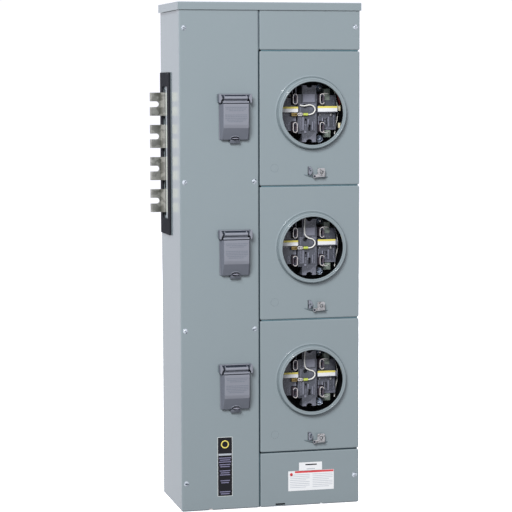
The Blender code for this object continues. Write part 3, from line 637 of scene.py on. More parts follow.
def plain_covers():
    """The breaker cover with its three windows, and the two blank covers."""
    face = (FRONT - 0.002, FRONT + 0.004)
    flange = (FRONT - 0.002, FRONT + COVER_WRAP)
    cover = plain_cover("breaker_cover", -1)
    for unit in UNITS:
        hinge = PIVOT[f"lid_hinge_{unit}"]
        across = (hinge.x - LID_OPENING[0], hinge.x + LID_OPENING[0])
        top = hinge.z - 0.0205
        cut(cover, block(across, face, (top - LID_OPENING[1], top)))
    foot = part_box("breaker_cover")[0].z
    notch = [(-0.171, foot - 0.002), (-0.155, foot - 0.002), (-0.1595, foot + 0.005), (-0.1665, foot + 0.005)]
    cut(cover, prism(notch, 1, flange))
    piece("breaker_panel", cover, "paint", stands_for="breaker_cover")
    piece("upper_panel", plain_cover("upper_cover", 1), "paint", stands_for="upper_cover")

    cover = plain_cover("lower_cover", 1)
    cut(cover, block((0.0115, 0.0375), face, (0.0042, 0.0086)),
        block((0.133, 0.141), flange, (-0.001, 0.0035)))
    piece("lower_panel", cover, "paint", stands_for="lower_cover")
    # A dark sheet behind the drain slot, painted shade.
    backing = block((0.0105, 0.0385), (FRONT + 0.0040, FRONT + 0.0046), (0.0036, 0.0092))
    piece("drain_slot_shade_sheet", backing, "black")
    # A bright block behind the notch in the foot, painted light where the lit floor would show.
    clip = block((-0.1690, -0.1570), (FRONT + 0.0034, FRONT + 0.0042), (0.0004, 0.0058))
    piece("notch_light_block", clip, "clip")


def seam_strips():
    """Painted ledges that close the seams a little way behind the covers. Their darker colours are painted shade.
    """
    seam_x = (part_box("breaker_cover")[1].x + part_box("upper_cover")[0].x) / 2
    half = 0.0012
    across = (seam_x - half, seam_x + half)
    levels = [corner.z for name in ("lower_cover", "upper_cover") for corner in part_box(name)]
    for index, material in enumerate(("seam", "seam_deep", "seam_pale")):
        strip = block(across, (FRONT + 0.0060, FRONT + 0.0080), levels[index:index + 2])
        piece(f"seam_ledge_upright_{index + 1}", strip, material)
    covers = ["upper_cover"] + [f"meter_cover_{unit}" for unit in UNITS] + ["lower_cover"]
    for index, (upper, lower) in enumerate(zip(covers, covers[1:])):
        z = (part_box(upper)[0].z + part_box(lower)[1].z) / 2
        across = (seam_x + 0.006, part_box(upper)[1].x - 0.004)
        lowest = lower == "lower_cover"
        depth = FRONT + (0.0055 if lowest else 0.0024)
        strip = block(across, (depth, depth + 0.0018), (z - half, z + half))
        piece(f"seam_ledge_{index + 1}", strip, "seam_deep" if lowest else "seam")


# ---------------------------------------------------------------- body

def folded_box(x, y, z, radius):
    """Outline of the wrapper seen from above, round at the two back corners, pushed up through z."""
    back_left = arc((x[0] + radius, y[1] - radius), radius, 180, 90, 5)
    back_right = arc((x[1] - radius, y[1] - radius), radius, 90, 0, 5)
    return prism([(x[0], y[0])] + back_left + back_right + [(x[1], y[0])], 2, z)


def knockout_ring(centre, radius, z):
    """Cutter for a shallow round groove in the bottom end."""
    outline = arc(centre, radius, 0, 352.5, 47)
    inner = arc(centre, radius - 0.0011, 0, 352.5, 47)
    levels = ((outline, z - 0.001), (outline, z + 0.0006), (inner, z + 0.0006), (inner, z - 0.001))
    return skin([[(x, y, level) for x, y in ring] for ring, level in levels], closed=True)


def enclosure_shell():
    """Wrapper and ends in one: open at the front inside a lip, with the bus window and the back's holes."""
    low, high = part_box("enclosure_box")
    shell = folded_box((low.x, high.x), (low.y, high.y), (low.z, high.z), 0.0040)
    inside = [(low[i] + SHEET, high[i] - SHEET) for i in range(3)]
    cut(shell, folded_box(*inside, 0.0024))
    mouth_x, mouth_z = [(inside[i][0] + BOX_LIP, inside[i][1] - BOX_LIP) for i in (0, 2)]
    cut(shell, block(mouth_x, (low.y - SHEET, low.y + 2 * SHEET), mouth_z))
    stub_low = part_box("cross_bus_neutral")[0]
    stub_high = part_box("cross_bus_a")[1]
    window_y = (stub_low.y - 0.006, stub_high.y + 0.007)
    cut(shell, block((low.x - SHEET, low.x + 2 * SHEET), window_y, (stub_low.z - 0.008, stub_high.z + 0.008)))
    through = (high.y - 2 * SHEET, high.y + SHEET)
    for x in (-0.150, 0.150):
        keyhole = arc((x, 1.230), 0.0085, 122, 418, 20) + arc((x, 1.255), 0.0045, 0, 180, 10)
        cut(shell, disc((x, 0.060), 0.0045, 1, through, 24), prism(keyhole, 1, through))
    for x, y, radius in ((-0.170, -0.020, 0.0315), (-0.085, -0.020, 0.0225), (-0.170, 0.070, 0.0225)):
        for share in (1.0, 0.72):
            cut(shell, knockout_ring((x, y), radius * share, low.z))
    piece("enclosure_shell", shell, "paint", stands_for="enclosure_box")


def rain_cap():
    """Sloping top sheet with a rolled front edge, and a cheek at each end."""
    low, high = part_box("rain_cap")
    radius = 0.0030
    slope = 0.0016
    hub = (low.y + radius, high.z - radius - slope)
    section = arc(hub, radius, 180, 90, 5) + [(high.y, high.z), (high.y, high.z - SHEET)]
    section += arc(hub, radius - SHEET, 90, 180, 5) + [(low.y + SHEET, low.z), (low.y, low.z)]
    cap = prism(section, 0, (low.x + 0.0008, high.x - 0.0008))
    cheek = [(low.y + 0.0006, low.z), (high.y, low.z), (high.y, high.z - 0.0002)]
    cheek.append((low.y + 0.0006, high.z - slope - 0.0012))
    fuse(cap, prism(cheek, 0, (low.x, low.x + SHEET)), prism(cheek, 0, (high.x, high.x - SHEET)))
    piece("rain_hood", rounded(cap, 0.0009), "paint", stands_for="rain_cap")


def bus_bezel():
    """Insulating frame round the bus window."""
    low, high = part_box("bus_bezel")
    bezel = rounded(block((low.x + 0.0006, high.x), (low.y + 0.023, high.y), (low.z, high.z)), 0.0018, 3, 32)
    window = round_rect((low.y + 0.046, high.y - 0.028), (low.z + 0.041, high.z - 0.0375), 0.003, 5)
    cut(bezel, prism(window, 0, (low.x - 0.001, high.x + 0.001)))
    piece("side_bezel", rounded(bezel, 0.0005, 1, 60), "black", stands_for="bus_bezel")


def bus_bars():
    """The four bars: a joggle outside the wall, an open slot for a bolt and a chamfered nose."""
    for name in ("cross_bus_a", "cross_bus_b", "cross_bus_c", "cross_bus_neutral"):
        low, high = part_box(name)
        y = low.y
        outer = high.y - BUS_THICK
        tip = low.x
        bend = BUS_BEND_X
        front = [(high.x, y), (bend + 0.0015, y), (bend, y + 0.0004), (bend - 0.0080, outer - 0.0004)]
        front += [(bend - 0.0095, outer), (tip + 0.0035, outer), (tip, outer + 0.0035), (tip, high.y)]
        inner = y + BUS_THICK
        back = [(bend - 0.0100, high.y), (bend - 0.0085, high.y - 0.0004), (bend - 0.0005, inner + 0.0004)]
        back += [(bend + 0.0010, inner), (high.x, inner)]
        bar = prism(front + back, 2, (low.z, high.z))
        middle = (low.z + high.z) / 2
        slot = arc((tip + BUS_SLOT_DEEP, middle), BUS_SLOT_RADIUS, -90, 90, 16)
        slot += [(tip - 0.005, middle + BUS_SLOT_RADIUS), (tip - 0.005, middle - BUS_SLOT_RADIUS)]
        cut(bar, prism(slot, 1, (y - 0.005, high.y + 0.005)))
        piece(name.replace("cross_bus", "bus_bar"), rounded(bar, 0.0005, 2, 40), "bus", stands_for=name)


# ---------------------------------------------------------------- breaker lids

def lid_block(inset):
    """The lid's tapered block about its hinge axis, moved inwards by inset."""
    out = LID_OUT + inset
    outline = [(LID_WALL, LID_TOP - inset), (out, LID_TOP - inset), (out, LID_CREASE + inset * 0.3)]
    outline += [(LID_HEEL + inset, LID_BOTTOM + inset), (LID_WALL, LID_BOTTOM + inset)]
    loops = []
    for side in (-1, 1):
        loop = []
        for y, z in outline:
            share = (LID_WALL - y) / (LID_WALL - LID_OUT)
            half = 0.0404 - 0.0070 * share - inset
            if z < LID_CREASE - 0.02:
                half -= 0.0028
            loop.append((side * half, y, z))
        loops.append(loop)
    return skin(loops)


def paint_shade_on_walls(obj):
    """Gives the side walls and the downward faces of a lid moulding a coarser, darker copy of its plastic; the
    darker colour is painted shade.
    """
    for face in obj.data.polygons:
        if abs(face.normal.x) > 0.5 or face.normal.z < -0.3:
            face.material_index = 1


def breaker_lid(unit):
    """Weather lid: two rolls below the pin, a plate, a sloping foot and the hasp. The ribs are a piece of their
    own.
    """
    hinge = PIVOT[f"lid_hinge_{unit}"]
    lid = rounded(lid_block(0.0), 0.0019, 4, 12)
    cut(lid, shifted(lid_block(0.0022), 0, 0.0030, 0))
    tilt = math.atan2(LID_HEEL - LID_OUT, LID_CREASE - LID_BOTTOM)
    meet = LID_CREASE - LID_STEP / math.tan(tilt)
    clear = LID_OUT - 0.002
    step = [(clear, LID_BREAK), (LID_OUT, LID_BREAK), (LID_OUT + LID_STEP, meet), (clear, meet)]
    cut(lid, prism(step, 0, (-0.045, 0.045)))
    fuse(lid, block((-0.0338, 0.0338), (-0.0070, -0.0030), (-0.0215, -0.0120)),
         block((-LID_ARM, LID_ARM), (-0.0070, -0.0035), (-0.0150, -0.0030)),
         disc((-0.0078, -0.0034), 0.0045, 0, (-LID_ARM, LID_ARM), 40),
         disc((-0.0088, -0.0145), 0.0030, 0, (-0.0342, 0.0342), 36))
    for side in (-1, 1):
        arm = arc((0, 0), 0.0040, 0, 200, 12) + [(-0.0062, -0.0030), (-0.0062, -0.0060), (0.0010, -0.0042)]
        fuse(lid, prism(arm, 0, (side * (LID_ARM - 0.0025), side * (LID_ARM - 0.0005))))
        cut(lid, disc((0, 0), PIN_HOLE, 0, (side * (LID_ARM - 0.006), side * (LID_ARM + 0.001)), 28))
    hasp_y = LID_OUT + (LID_CREASE - HASP_Z) * math.tan(tilt)
    rim = turned(arc((0.0118, 0.0), 0.0016, 0, 345, 23), (0, 0), 48, 0.58)
    fuse(lid, moved(rim, Matrix.Translation((0, hasp_y - 0.0002, HASP_Z + 0.0002)) @ spin(tilt, "X")))
    head = HASP_Z - 0.0045
    foot = LID_BOTTOM - 0.0086
    tongue = [(hasp_y - 0.0014, head), (LID_WALL, head), (LID_WALL, foot), (LID_HEEL + 0.0004, foot)]
    fuse(lid, rounded(prism(tongue, 0, (-0.0132, 0.0132)), 0.0012, 3, 32))
    slot = block((-0.0106, 0.0106), (-0.0200, 0.0140), (HASP_Z - 0.0031, HASP_Z + 0.0029))
    cut(lid, rounded(slot, 0.0024, 4, 60))
    shifted(lid, *hinge)
    piece(f"weather_lid_{unit}", lid, ["lid", "lid_painted_shade"], f"lid_{unit}", f"breaker_lid_{unit}", angle=28)
    paint_shade_on_walls(lid)


def lid_ribs(unit):
    """Short raised dashes in two groups of rows, moulded on the lid's plate."""
    hinge = PIVOT[f"lid_hinge_{unit}"]
    bm = bmesh.new()
    rows = ((-0.0275, 0.0290), (-0.0318, 0.0270), (-0.0361, 0.0190), (-0.0470, 0.0290),
            (-0.0513, 0.0280), (-0.0556, 0.0290), (-0.0599, 0.0250), (-0.0642, 0.0210))
    for row, (z, half) in enumerate(rows):
        x = -half
        count = 0
        while x < half - 0.003:
            length = 0.0034 + 0.0030 * abs(math.sin(2.3 * row + 1.7 * count))
            end = min(x + length, half)
            dash = bmesh.ops.create_cube(bm, size=1.0)["verts"]
            for vertex in dash:
                across = x if vertex.co.x < 0 else end
                out = LID_OUT - 0.0004 if vertex.co.y < 0 else LID_OUT + 0.0006
                vertex.co = hinge + Vector((across, out, z + 0.0011 * (0.5 + vertex.co.z)))
            x = end + 0.0013
            count += 1
    # The dashes take the darker copy of the lid plastic, painted shade.
    piece(f"lid_ribs_{unit}", shape(bm), "lid_mark", f"lid_{unit}")


def lid_frame(unit):
    """Base plate with two hooked ears, the pin between them, a dark strip of painted shade above the pin and the
    padlock staple. The pin's dark colour is painted shade too.
    """
    hinge = PIVOT[f"lid_hinge_{unit}"]
    face = FRONT - hinge.y - 0.0003
    plate = rounded(block((-0.0400, 0.0400), (face - 0.0020, face), (-0.1100, 0.0045)), 0.0009, 2, 32)
    cut(plate, block((-0.0270, 0.0270), (face - 0.004, face + 0.001), (-0.0900, -0.0240)))
    hook = [(0.0392, 0.0068), (0.0424, 0.0068), (0.0434, 0.0058), (0.0434, -0.0130), (0.0426, -0.0154),
            (0.0408, -0.0164), (0.0392, -0.0158), (0.0384, -0.0130), (0.0378, -0.0095), (0.0352, -0.0062),
            (0.0344, -0.0030), (0.0360, 0.0004)]
    for side in (-1, 1):
        ear = prism([(side * x, z) for x, z in hook], 1, (-0.0084, face - 0.0003))
        fuse(plate, rounded(ear, 0.0012, 3, 40))
    rear = face - 0.0002
    hood = [(rear, 0.0068), (0.0074, 0.0068), (0.0066, 0.0060), (0.0066, 0.0048), (rear, 0.0044)]
    fuse(plate, prism(hood, 0, (-0.0400, 0.0400)))
    for side in (-1, 1):
        cut(plate, disc((0, 0), PIN_HOLE, 0, (side * 0.0300, side * 0.0400), 24))
    pin = rounded(disc((0, 0), 0.0024, 0, (-0.0395, 0.0395), 28), 0.0004)
    seal = [(face - 0.0022, 0.0050), (0.0068, 0.0050), (0.0068, 0.0012), (face - 0.0022, 0.0004)]
    seal = prism(seal, 0, (-0.0385, 0.0385))
    outline = arc((0, -0.0034), HASP_HALF, 180, 360, 20)
    outline += [(HASP_HALF, face - 0.0004), (-HASP_HALF, face - 0.0004)]
    staple = prism(outline, 2, (HASP_Z - 0.0010, HASP_Z + 0.0010))
    cut(staple, disc((0, -0.0046), 0.0044, 2, (HASP_Z - 0.003, HASP_Z + 0.003), 28))
    rounded(staple, 0.0005)
    for obj in (plate, pin, seal, staple):
        shifted(obj, *hinge)
    piece(f"lid_base_{unit}", plate, ["lid", "lid_painted_shade"], stands_for=f"lid_frame_{unit}")
    paint_shade_on_walls(plate)
    piece(f"hinge_pin_painted_shade_{unit}", pin, "pin")
    piece(f"lid_shade_strip_{unit}", seal, "pin")
    piece(f"padlock_staple_{unit}", staple, "staple")


# ---------------------------------------------------------------- latches and screws

def latch_arm(unit):
    """Arm with its raised seal ring, the rib across it, the shaft and the cam on the inner end."""
    pivot = PIVOT[f"latch_turn_{unit}"]
    front = FRONT - 0.0100
    boss = arc((0, 0.0016), 0.0038, 60, 270, 16)
    crown = arc((0.0250, 0.0184), 0.0036, 0, 90, 5) + arc((0.0118, 0.0184), 0.0036, 90, 180, 5)
    arm = prism(boss + [(0.0286, -0.0006)] + crown + [(0.0082, 0.0060)], 1, (front, front + 0.0016))
    cut(arm, disc(SEAL_HOLE, 0.0050, 1, (front - 0.001, front + 0.0026)))
    rounded(arm, 0.0004)
    collar = [(0.0050, 0.0006), (0.0074, 0.0006), (0.0080, 0.0), (0.0080, -0.0012), (0.0072, -0.0020)]
    collar = [(radius, front + y) for radius, y in collar + [(0.0050, -0.0020)]]
    x, z = SEAL_HOLE
    fuse(arm, block((0.0086, 0.0286), (front - 0.0016, front + 0.0014), (-0.0006, 0.0008)),
         turned(collar, SEAL_HOLE, 32),
         disc(SEAL_HOLE, 0.0030, 1, (front - 0.0012, front + 0.0014), 24),
         block((x - 0.0008, x + 0.0008), (front + 0.0002, front + 0.0012), (z - 0.0060, z + 0.0060)),
         disc((0, 0), 0.0035, 1, (front - 0.0012, FRONT + 0.0190), 24),
         block((-0.006, 0.006), (FRONT + 0.0160, FRONT + 0.0180), (-0.0105, 0.006)))
    body = f"latch_{unit}"
    piece(f"latch_arm_{unit}", shifted(arm, pivot.x, 0, pivot.z), "zinc", body, f"cover_latch_{unit}")
    rivet = rounded(disc((0, 0.0008), 0.0030, 1, (front - 0.0018, front + 0.0001), 28), 0.0008, 3)
    piece(f"latch_rivet_{unit}", shifted(rivet, pivot.x, 0, pivot.z), "pin", body)


def seal_fin(unit):
    """Half-round tab left of the latch, bent out of the cover at an angle, with a hole for a seal."""
    pivot = PIVOT[f"latch_turn_{unit}"]
    half = SEAL_FIN_HEIGHT / 2
    edge = [(across * 0.92, up) for across, up in arc((0, half), half, -90, 90, 18)]
    fin = prism([(-0.0012, 0.0)] + edge + [(-0.0012, SEAL_FIN_HEIGHT)], 1, (0.0, 0.0015))
    cut(fin, disc((0.0046, half), 0.0026, 1, (-0.002, 0.004), 24))
    rounded(fin, 0.0003)
    foot = (pivot.x + SEAL_FIN_FOOT[0], FRONT - 0.0007, pivot.z + SEAL_FIN_FOOT[1])
    moved(fin, Matrix.Translation(foot) @ spin(math.radians(-40), "Z"))
    piece(f"seal_fin_{unit}", fin, "dull_zinc", f"meter_cover_{unit}")


def latch_sill(unit):
    """The curved lip pressed out of the cover under the latch."""
    pivot = PIVOT[f"latch_turn_{unit}"]
    back = FRONT + 0.0004
    loops = []
    steps = 24
    for i in range(steps + 1):
        share = 2 * i / steps - 1
        bulge = max(0.0, 1 - share * share) ** 0.7
        x = share * SILL_HALF
        reach = SILL_OUT * bulge + 0.0002
        top = 0.0042 - 0.0035 * share + 0.0022 * share * share
        loops.append([(x, back, top + 0.0003), (x, FRONT - reach * 0.92, top - 0.0002),
                      (x, FRONT - reach, top - 0.0008), (x, FRONT - reach * 0.92, top - 0.0016),
                      (x, back, top - 0.0019 - 0.0016 * bulge)])
    sill = shifted(skin(loops), pivot.x + SILL_AT[0], 0, pivot.z + SILL_AT[1])
    # Its paint is a darker copy of the cover's, painted shade under the latch.
    piece(f"latch_sill_{unit}", sill, "sill", f"meter_cover_{unit}", angle=40)


def cover_screws():
    """Flanged pan heads, each with a cross slot at its own angle, and the shank behind."""
    profile = [(1e-5, -0.0034), (0.0020, -0.0033), (0.0038, -0.0027), (0.0050, -0.0015), (0.0058, -0.0006),
               (0.0064, -0.0004), (0.0064, 0.0), (0.0024, 0.0), (0.0024, 0.018)]
    depth = (FRONT - 0.006, FRONT - 0.0018)
    for name in sorted(node for node in frame["nodes"] if node.startswith("cover_screw")):
        low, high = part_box(name)
        x = (low.x + high.x) / 2
        z = (low.z + high.z) / 2
        loops = []
        for radius, y in profile:
            loops.append([(px, FRONT + y - 0.0002, pz) for px, pz in arc((0, 0), radius, 0, 348.75, 31)])
        screw = skin(loops)
        for half_x, half_z in ((0.0042, 0.0006), (0.0007, 0.0026)):
            blade = block((-half_x, half_x), depth, (-half_z, half_z))
            cut(screw, moved(blade, spin(0.5 + x * 9 + z * 4, "Y")))
        piece(name.replace("cover_screw", "screw"), shifted(screw, x, 0, z), "screw", stands_for=name)


# ---------------------------------------------------------------- sockets

def socket_piece(name, unit, obj, material, stands_for=None):
    """A fixed piece of one socket, made about the middle of its meter opening."""
    cx, cz = opening_centre(unit)
    piece(f"{name}_{unit}", shifted(obj, cx, 0, cz), material, ROOT, stands_for)


def jaw_spot(node, unit):
    """Middle of a jaw as (x, z) from the opening's. It is read from the line jaws, which have no strap."""
    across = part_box("line_" + node[5:] + "_1")
    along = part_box(f"line_jaw_left_{unit}")
    cx, cz = opening_centre(unit)
    up = (along[0].z + along[1].z) / 2 - cz
    return (across[0].x + across[1].x) / 2 - cx, up if node.startswith("line") else -up


def socket_block(unit):
    """Moulded base: a middle column in steps, two wings, ridges for the markers, ribs and pockets."""
    node = f"socket_base_{unit}"
    low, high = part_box(node)
    face = low.y + 0.004

    def part(x, y, z, radius=0.0012):
        return rounded(block(x, (y, high.y), z), radius, 2, 32)

    base = part((-0.026, 0.027), face + 0.0035, (-0.054, 0.050))
    fuse(base, part((-0.015, 0.0235), face + 0.0010, (-0.076, 0.073)),
         part((-0.0225, 0.0225), face, (-0.048, 0.0255)),
         part((-0.0130, 0.0195), face - 0.0004, (0.0285, 0.050)),
         part((-0.078, -0.0300), face + 0.0060, (-0.0455, 0.0400)),
         part((0.0310, 0.078), face + 0.0060, (-0.0435, 0.0470)),
         part((-0.078, 0.078), face + 0.0160, (-0.0300, 0.0300)),
         part((-0.0760, -0.0272), low.y, RIDGE_Z, 0.0008),
         part((0.0260, 0.0800), low.y, RIDGE_Z, 0.0008))
    ribs = ((-0.0150, -0.0110, -0.044, -0.010), (-0.0010, 0.0030, -0.036, -0.016),
            (0.0110, 0.0140, -0.044, -0.022), (-0.0100, -0.0040, -0.052, -0.046),
            (0.0400, 0.0430, -0.034, -0.012), (0.0560, 0.0600, -0.036, -0.010),
            (-0.0700, -0.0680, -0.030, -0.006), (-0.0560, -0.0545, -0.042, -0.028),
            (-0.0560, -0.0545, 0.024, 0.036))
    for x0, x1, z0, z1 in ribs:
        on_wing = abs(x0) > 0.03
        fuse(base, part((x0, x1), face + (0.0060 if on_wing else 0.0) - 0.0014, (z0, z1), 0.0006))
    for x0, x1, z0, z1 in ((0.0010, 0.0080, -0.046, -0.030), (-0.0080, -0.0030, -0.028, -0.014),
                           (0.0440, 0.0540, -0.030, -0.014)):
        cut(base, block((x0, x1), (face - 0.004, face + 0.0120), (z0, z1)))
    through = (face - 0.01, high.y + 0.01)
    pocket = (face - 0.01, face + 0.014)
    for z in (-0.076, 0.075):
        cut(base, disc((0.0045, z), 0.0085, 1, through, 40))
    cut(base, disc((-0.0070, 0.0185), 0.0058, 1, pocket),
        block((-0.0480, -0.0280), pocket, (-0.0090, 0.0018)))
    for jaw in JAWS:
        x, z = jaw_spot(jaw, unit)
        cut(base, block((x - 0.0074, x + 0.0074), through, (z - 0.0158, z + 0.0158)))
    socket_piece("socket_moulding", unit, base, "socket", stands_for=node)


def socket_details(unit):
    """Fine pale ribs that stand as painted glints, small terminal screws on the socket, and the barriers above its
    left wing.
    """
    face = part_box(f"socket_base_{unit}")[0].y + 0.004
    wing = face + 0.0060
    thin = 0.0006
    level = ((0.0265, 0.0740, 0.0006), (0.0520, 0.0700, -0.0392), (-0.0770, -0.0380, -0.0024))
    on_wings = ((0.0300, -0.0300, -0.0080), (0.0480, -0.0360, -0.0120), (0.0716, -0.0340, -0.0060),
                (0.0460, 0.0200, 0.0400), (-0.0640, -0.0260, -0.0060), (-0.0500, -0.0400, -0.0240))
    on_column = ((-0.0190, -0.0460, -0.0120), (-0.0060, -0.0440, -0.0200), (0.0170, -0.0460, -0.0160))
    spans = [((x0, x1), (z, z + thin), wing) for x0, x1, z in level]
    for upright, y in ((on_wings, wing), (on_column, face)):
        spans += [((x, x + thin), (z0, z1), y) for x, z0, z1 in upright]
    joined = bmesh.new()
    for x, z, y in spans:
        rib = block(x, (y - 0.0012, y + 0.0006), z)
        joined.from_mesh(rib.data)
        bpy.data.objects.remove(rib)
    socket_piece("socket_glint_ribs", unit, shape(joined), "glint")
    screws = ((0.0640, -0.0050, 0.0034), (0.0340, -0.0048, 0.0022), (-0.0700, -0.0070, 0.0026))
    for index, (x, z, radius) in enumerate(screws):
        head = rounded(disc((x, z), radius, 1, (wing - 0.0030, wing + 0.0010), 20), 0.0008, 3)
        cut(head, block((x - radius, x + radius), (wing - 0.0040, wing - 0.0018), (z - 0.0005, z + 0.0005)))
        socket_piece(f"terminal_screw_{index + 1}", unit, head, "zinc")
    for index, x in enumerate((-0.0480, -0.0400, -0.0300)):
        rail = block((x, x + 0.0026), (wing + 0.0060, wing + 0.0200), (0.0420, 0.0740))
        socket_piece(f"barrier_{index + 1}", unit, rounded(rail, 0.0005), "socket")


def jaw_clips(unit):
    """The spring loop round each jaw, with two dark discs in it that are painted shade for holes, and a wire tail
    on the right-hand ones.
    """
    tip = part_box(f"line_jaw_left_{unit}")[0].y
    for jaw in JAWS:
        x, z = jaw_spot(jaw, unit)
        clip = prism(stadium((x, z), 0.0061, 0.0137), 1, (tip - 0.0032, tip + 0.0012))
        cut(clip, prism(stadium((x, z), 0.0048, 0.0124), 1, (tip - 0.005, tip + 0.015)))
        on_right = jaw.endswith("right")
        if on_right or unit > 1 and jaw.startswith("load"):
            side = 1 if on_right else -1
            gap = (x + side * 0.002, x + side * 0.010)
            cut(clip, block(gap, (tip - 0.006, tip + 0.016), (z - 0.0088, z + 0.0080)))
        socket_piece(jaw + "_clip", unit, rounded(clip, 0.0004), "clip")
        for label, share in (("low", -1), ("high", 1)):
            eye = disc((x - 0.0004, z + share * 0.0080), 0.0024, 1, (tip - 0.0010, tip + 0.0040), 24)
            socket_piece(f"{jaw}_eye_{label}", unit, rounded(eye, 0.0003), "pin")
        if on_right:
            up = 1 if jaw.startswith("line") else -1
            end = z + up * 0.0142
            tail = [(x, tip - 0.0010, end), (x + 0.008, tip - 0.0016, end)]
            tail += [(x + 0.017, tip + 0.001, end - up * 0.001), (x + 0.020, tip + 0.012, end - up * 0.003)]
            socket_piece(jaw + "_tail", unit, tube(tail, 0.0009), "clip")


def strips(unit):
    """Marker strips on the two ridges: a yellow band above a white one."""
    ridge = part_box(f"socket_base_{unit}")[0].y
    y = (ridge - 0.0003, ridge - 0.0001)
    right_end = 0.0790 if unit == 1 else 0.0745
    ridges = (("left", (-0.0760, -0.0275), 0.0004), ("right", (0.0262, right_end), 0.0016))
    for side, across, lift in ridges:
        for colour, z0, z1 in (("white", 0.0024, 0.0115), ("yellow", 0.0116, 0.0165)):
            band = block(across, y, (z0 + lift, z1 + lift))
            socket_piece(f"strip_{colour}_{side}", unit, band, "sticker_" + colour)


def neutral_wire(unit):
    """White neutral wire from its ring terminal, round a loop, then into the column or up a socket."""
    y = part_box(f"neutral_wire_{unit}")[0].y + 0.0013
    points = [(-0.0020, NEUTRAL_Z), (0.0050, -0.0034), (0.0140, 0.0006), (0.0188, 0.0094), (0.0140, 0.0180)]
    if unit == 1:
        points += [(0.0050, 0.0214), (-0.0050, 0.0200), (-0.0140, 0.0190), (-0.0230, 0.0212)]
    else:
        points += [(0.0020, 0.0226), (-0.0070, 0.0290), (-0.0100, 0.0420), (-0.0096, 0.0620)]
        points.append((-0.0080, 0.0800))
    lead = tube([(x, y, z) for x, z in points], 0.0018, 8, 4)
    socket_piece("neutral_lead", unit, lead, "white_wire", stands_for=f"neutral_wire_{unit}")
    sleeve = disc((y, NEUTRAL_Z), 0.0038, 0, (-0.0130, -0.0006), 24)
    socket_piece("neutral_sleeve", unit, rounded(sleeve, 0.0008, 3), "sleeve")
    ferrule = disc((y, NEUTRAL_Z), 0.0026, 0, (-0.0160, -0.0126), 20)
    socket_piece("neutral_ferrule", unit, rounded(ferrule, 0.0004), "copper")
    for index, x in enumerate((-0.0190, -0.0245)):
        ring = turned(arc((0.0032, y - 0.0006 + 0.0012 * index), 0.0011, 0, 330, 11), (x, -0.0030), 32)
        socket_piece(f"neutral_ring_{index + 1}", unit, ring, "clip")
    stud = disc((-0.0190, -0.0030), 0.0019, 1, (y - 0.0030, y + 0.0060), 6)
    socket_piece("neutral_stud", unit, rounded(stud, 0.0004), "zinc")
    blade = block((-0.0450, -0.0300), (y - 0.0010, y + 0.0090), (-0.0072, 0.0010))
    cut(blade, block((-0.0440, -0.0310), (y - 0.0030, y + 0.0060), (-0.0052, -0.0012)))
    socket_piece("brass_blade", unit, rounded(blade, 0.0004), "brass")


def socket_hardware(unit):
    """Lug screws at the right of the column, the insulators beside them and the wires at the right edge."""
    low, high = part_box(f"socket_base_{unit}")
    deep = low.y + 0.026
    for label, x, z, tilt in (("upper", 0.0365, 0.0655, 0.35), ("lower", 0.0365, -0.0675, -0.40)):
        screw = rounded(disc((0, 0), 0.0082, 1, (-0.0060, 0.0000), 6), 0.0010, 3, 30)
        fuse(screw, rounded(disc((0, 0), 0.0108, 1, (0.0, 0.0018), 36), 0.0005))
        cut(screw, disc((0, 0), 0.0040, 1, (-0.0080, -0.0026), 6))
        moved(screw, Matrix.Translation((x, deep, z)) @ spin(tilt, "Z") @ spin(tilt, "X"))
        socket_piece(f"lug_screw_{label}", unit, screw, "dark_zinc")
        # A bright stud in each lug screw, a painted highlight.
        stud = rounded(disc((x + 0.0014, z - 0.0006), 0.0022, 1, (deep - 0.0066, deep - 0.0010), 16), 0.0006)
        socket_piece(f"lug_stud_{label}", unit, stud, "clip")
    for label, right, z in (("upper", 0.0620, (0.0330, 0.0640)), ("lower", 0.0640, (-0.0640, -0.0450))):
        lug = rounded(block((0.0450, right), (low.y + 0.0090, high.y), z), 0.0022, 3, 32)
        socket_piece(f"lug_insulator_{label}", unit, lug, "lug")
    y = low.y + 0.018
    if unit == 1:
        feed = [(0.0820, y + 0.02, 0.0780), (0.0840, y, 0.0500)]
        feed += [(0.0900, y - 0.004, 0.0280), (0.0930, y + 0.01, 0.0160)]
        socket_piece("feed_wire_red", unit, tube(feed, 0.0032, 6, 4), "red_wire")
        for index, z in enumerate((0.0120, -0.0330)):
            plug = disc((0.0890, y - 0.004), 0.0036, 2, (z - 0.0070, z + 0.0070), 20)
            socket_piece(f"feed_plug_{index + 1}", unit, rounded(plug, 0.0012, 3), "cream_wire")
    edge = ((0.0760, 0.0640), (0.0800, 0.0400), (0.0850, 0.0200),
            (0.0860, -0.0060), (0.0810, -0.0320), (0.0780, -0.0560))
    socket_piece("edge_lead", unit, tube([(x, y + 0.002, z) for x, z in edge], 0.0012, 8), "white_wire")


# ---------------------------------------------------------------- stickers

def sticker(name, x, z, radius, material, level=0):
    """A thin printed plate. Level 0 lies on the cover and each further level on the one below."""
    near = FRONT - 0.00006 - STICKER_THICK * level
    outline = round_rect(x, z, radius, 4)
    piece(name, prism(outline, 1, (near - STICKER_THICK, near - STICKER_THICK * 0.1)), material)


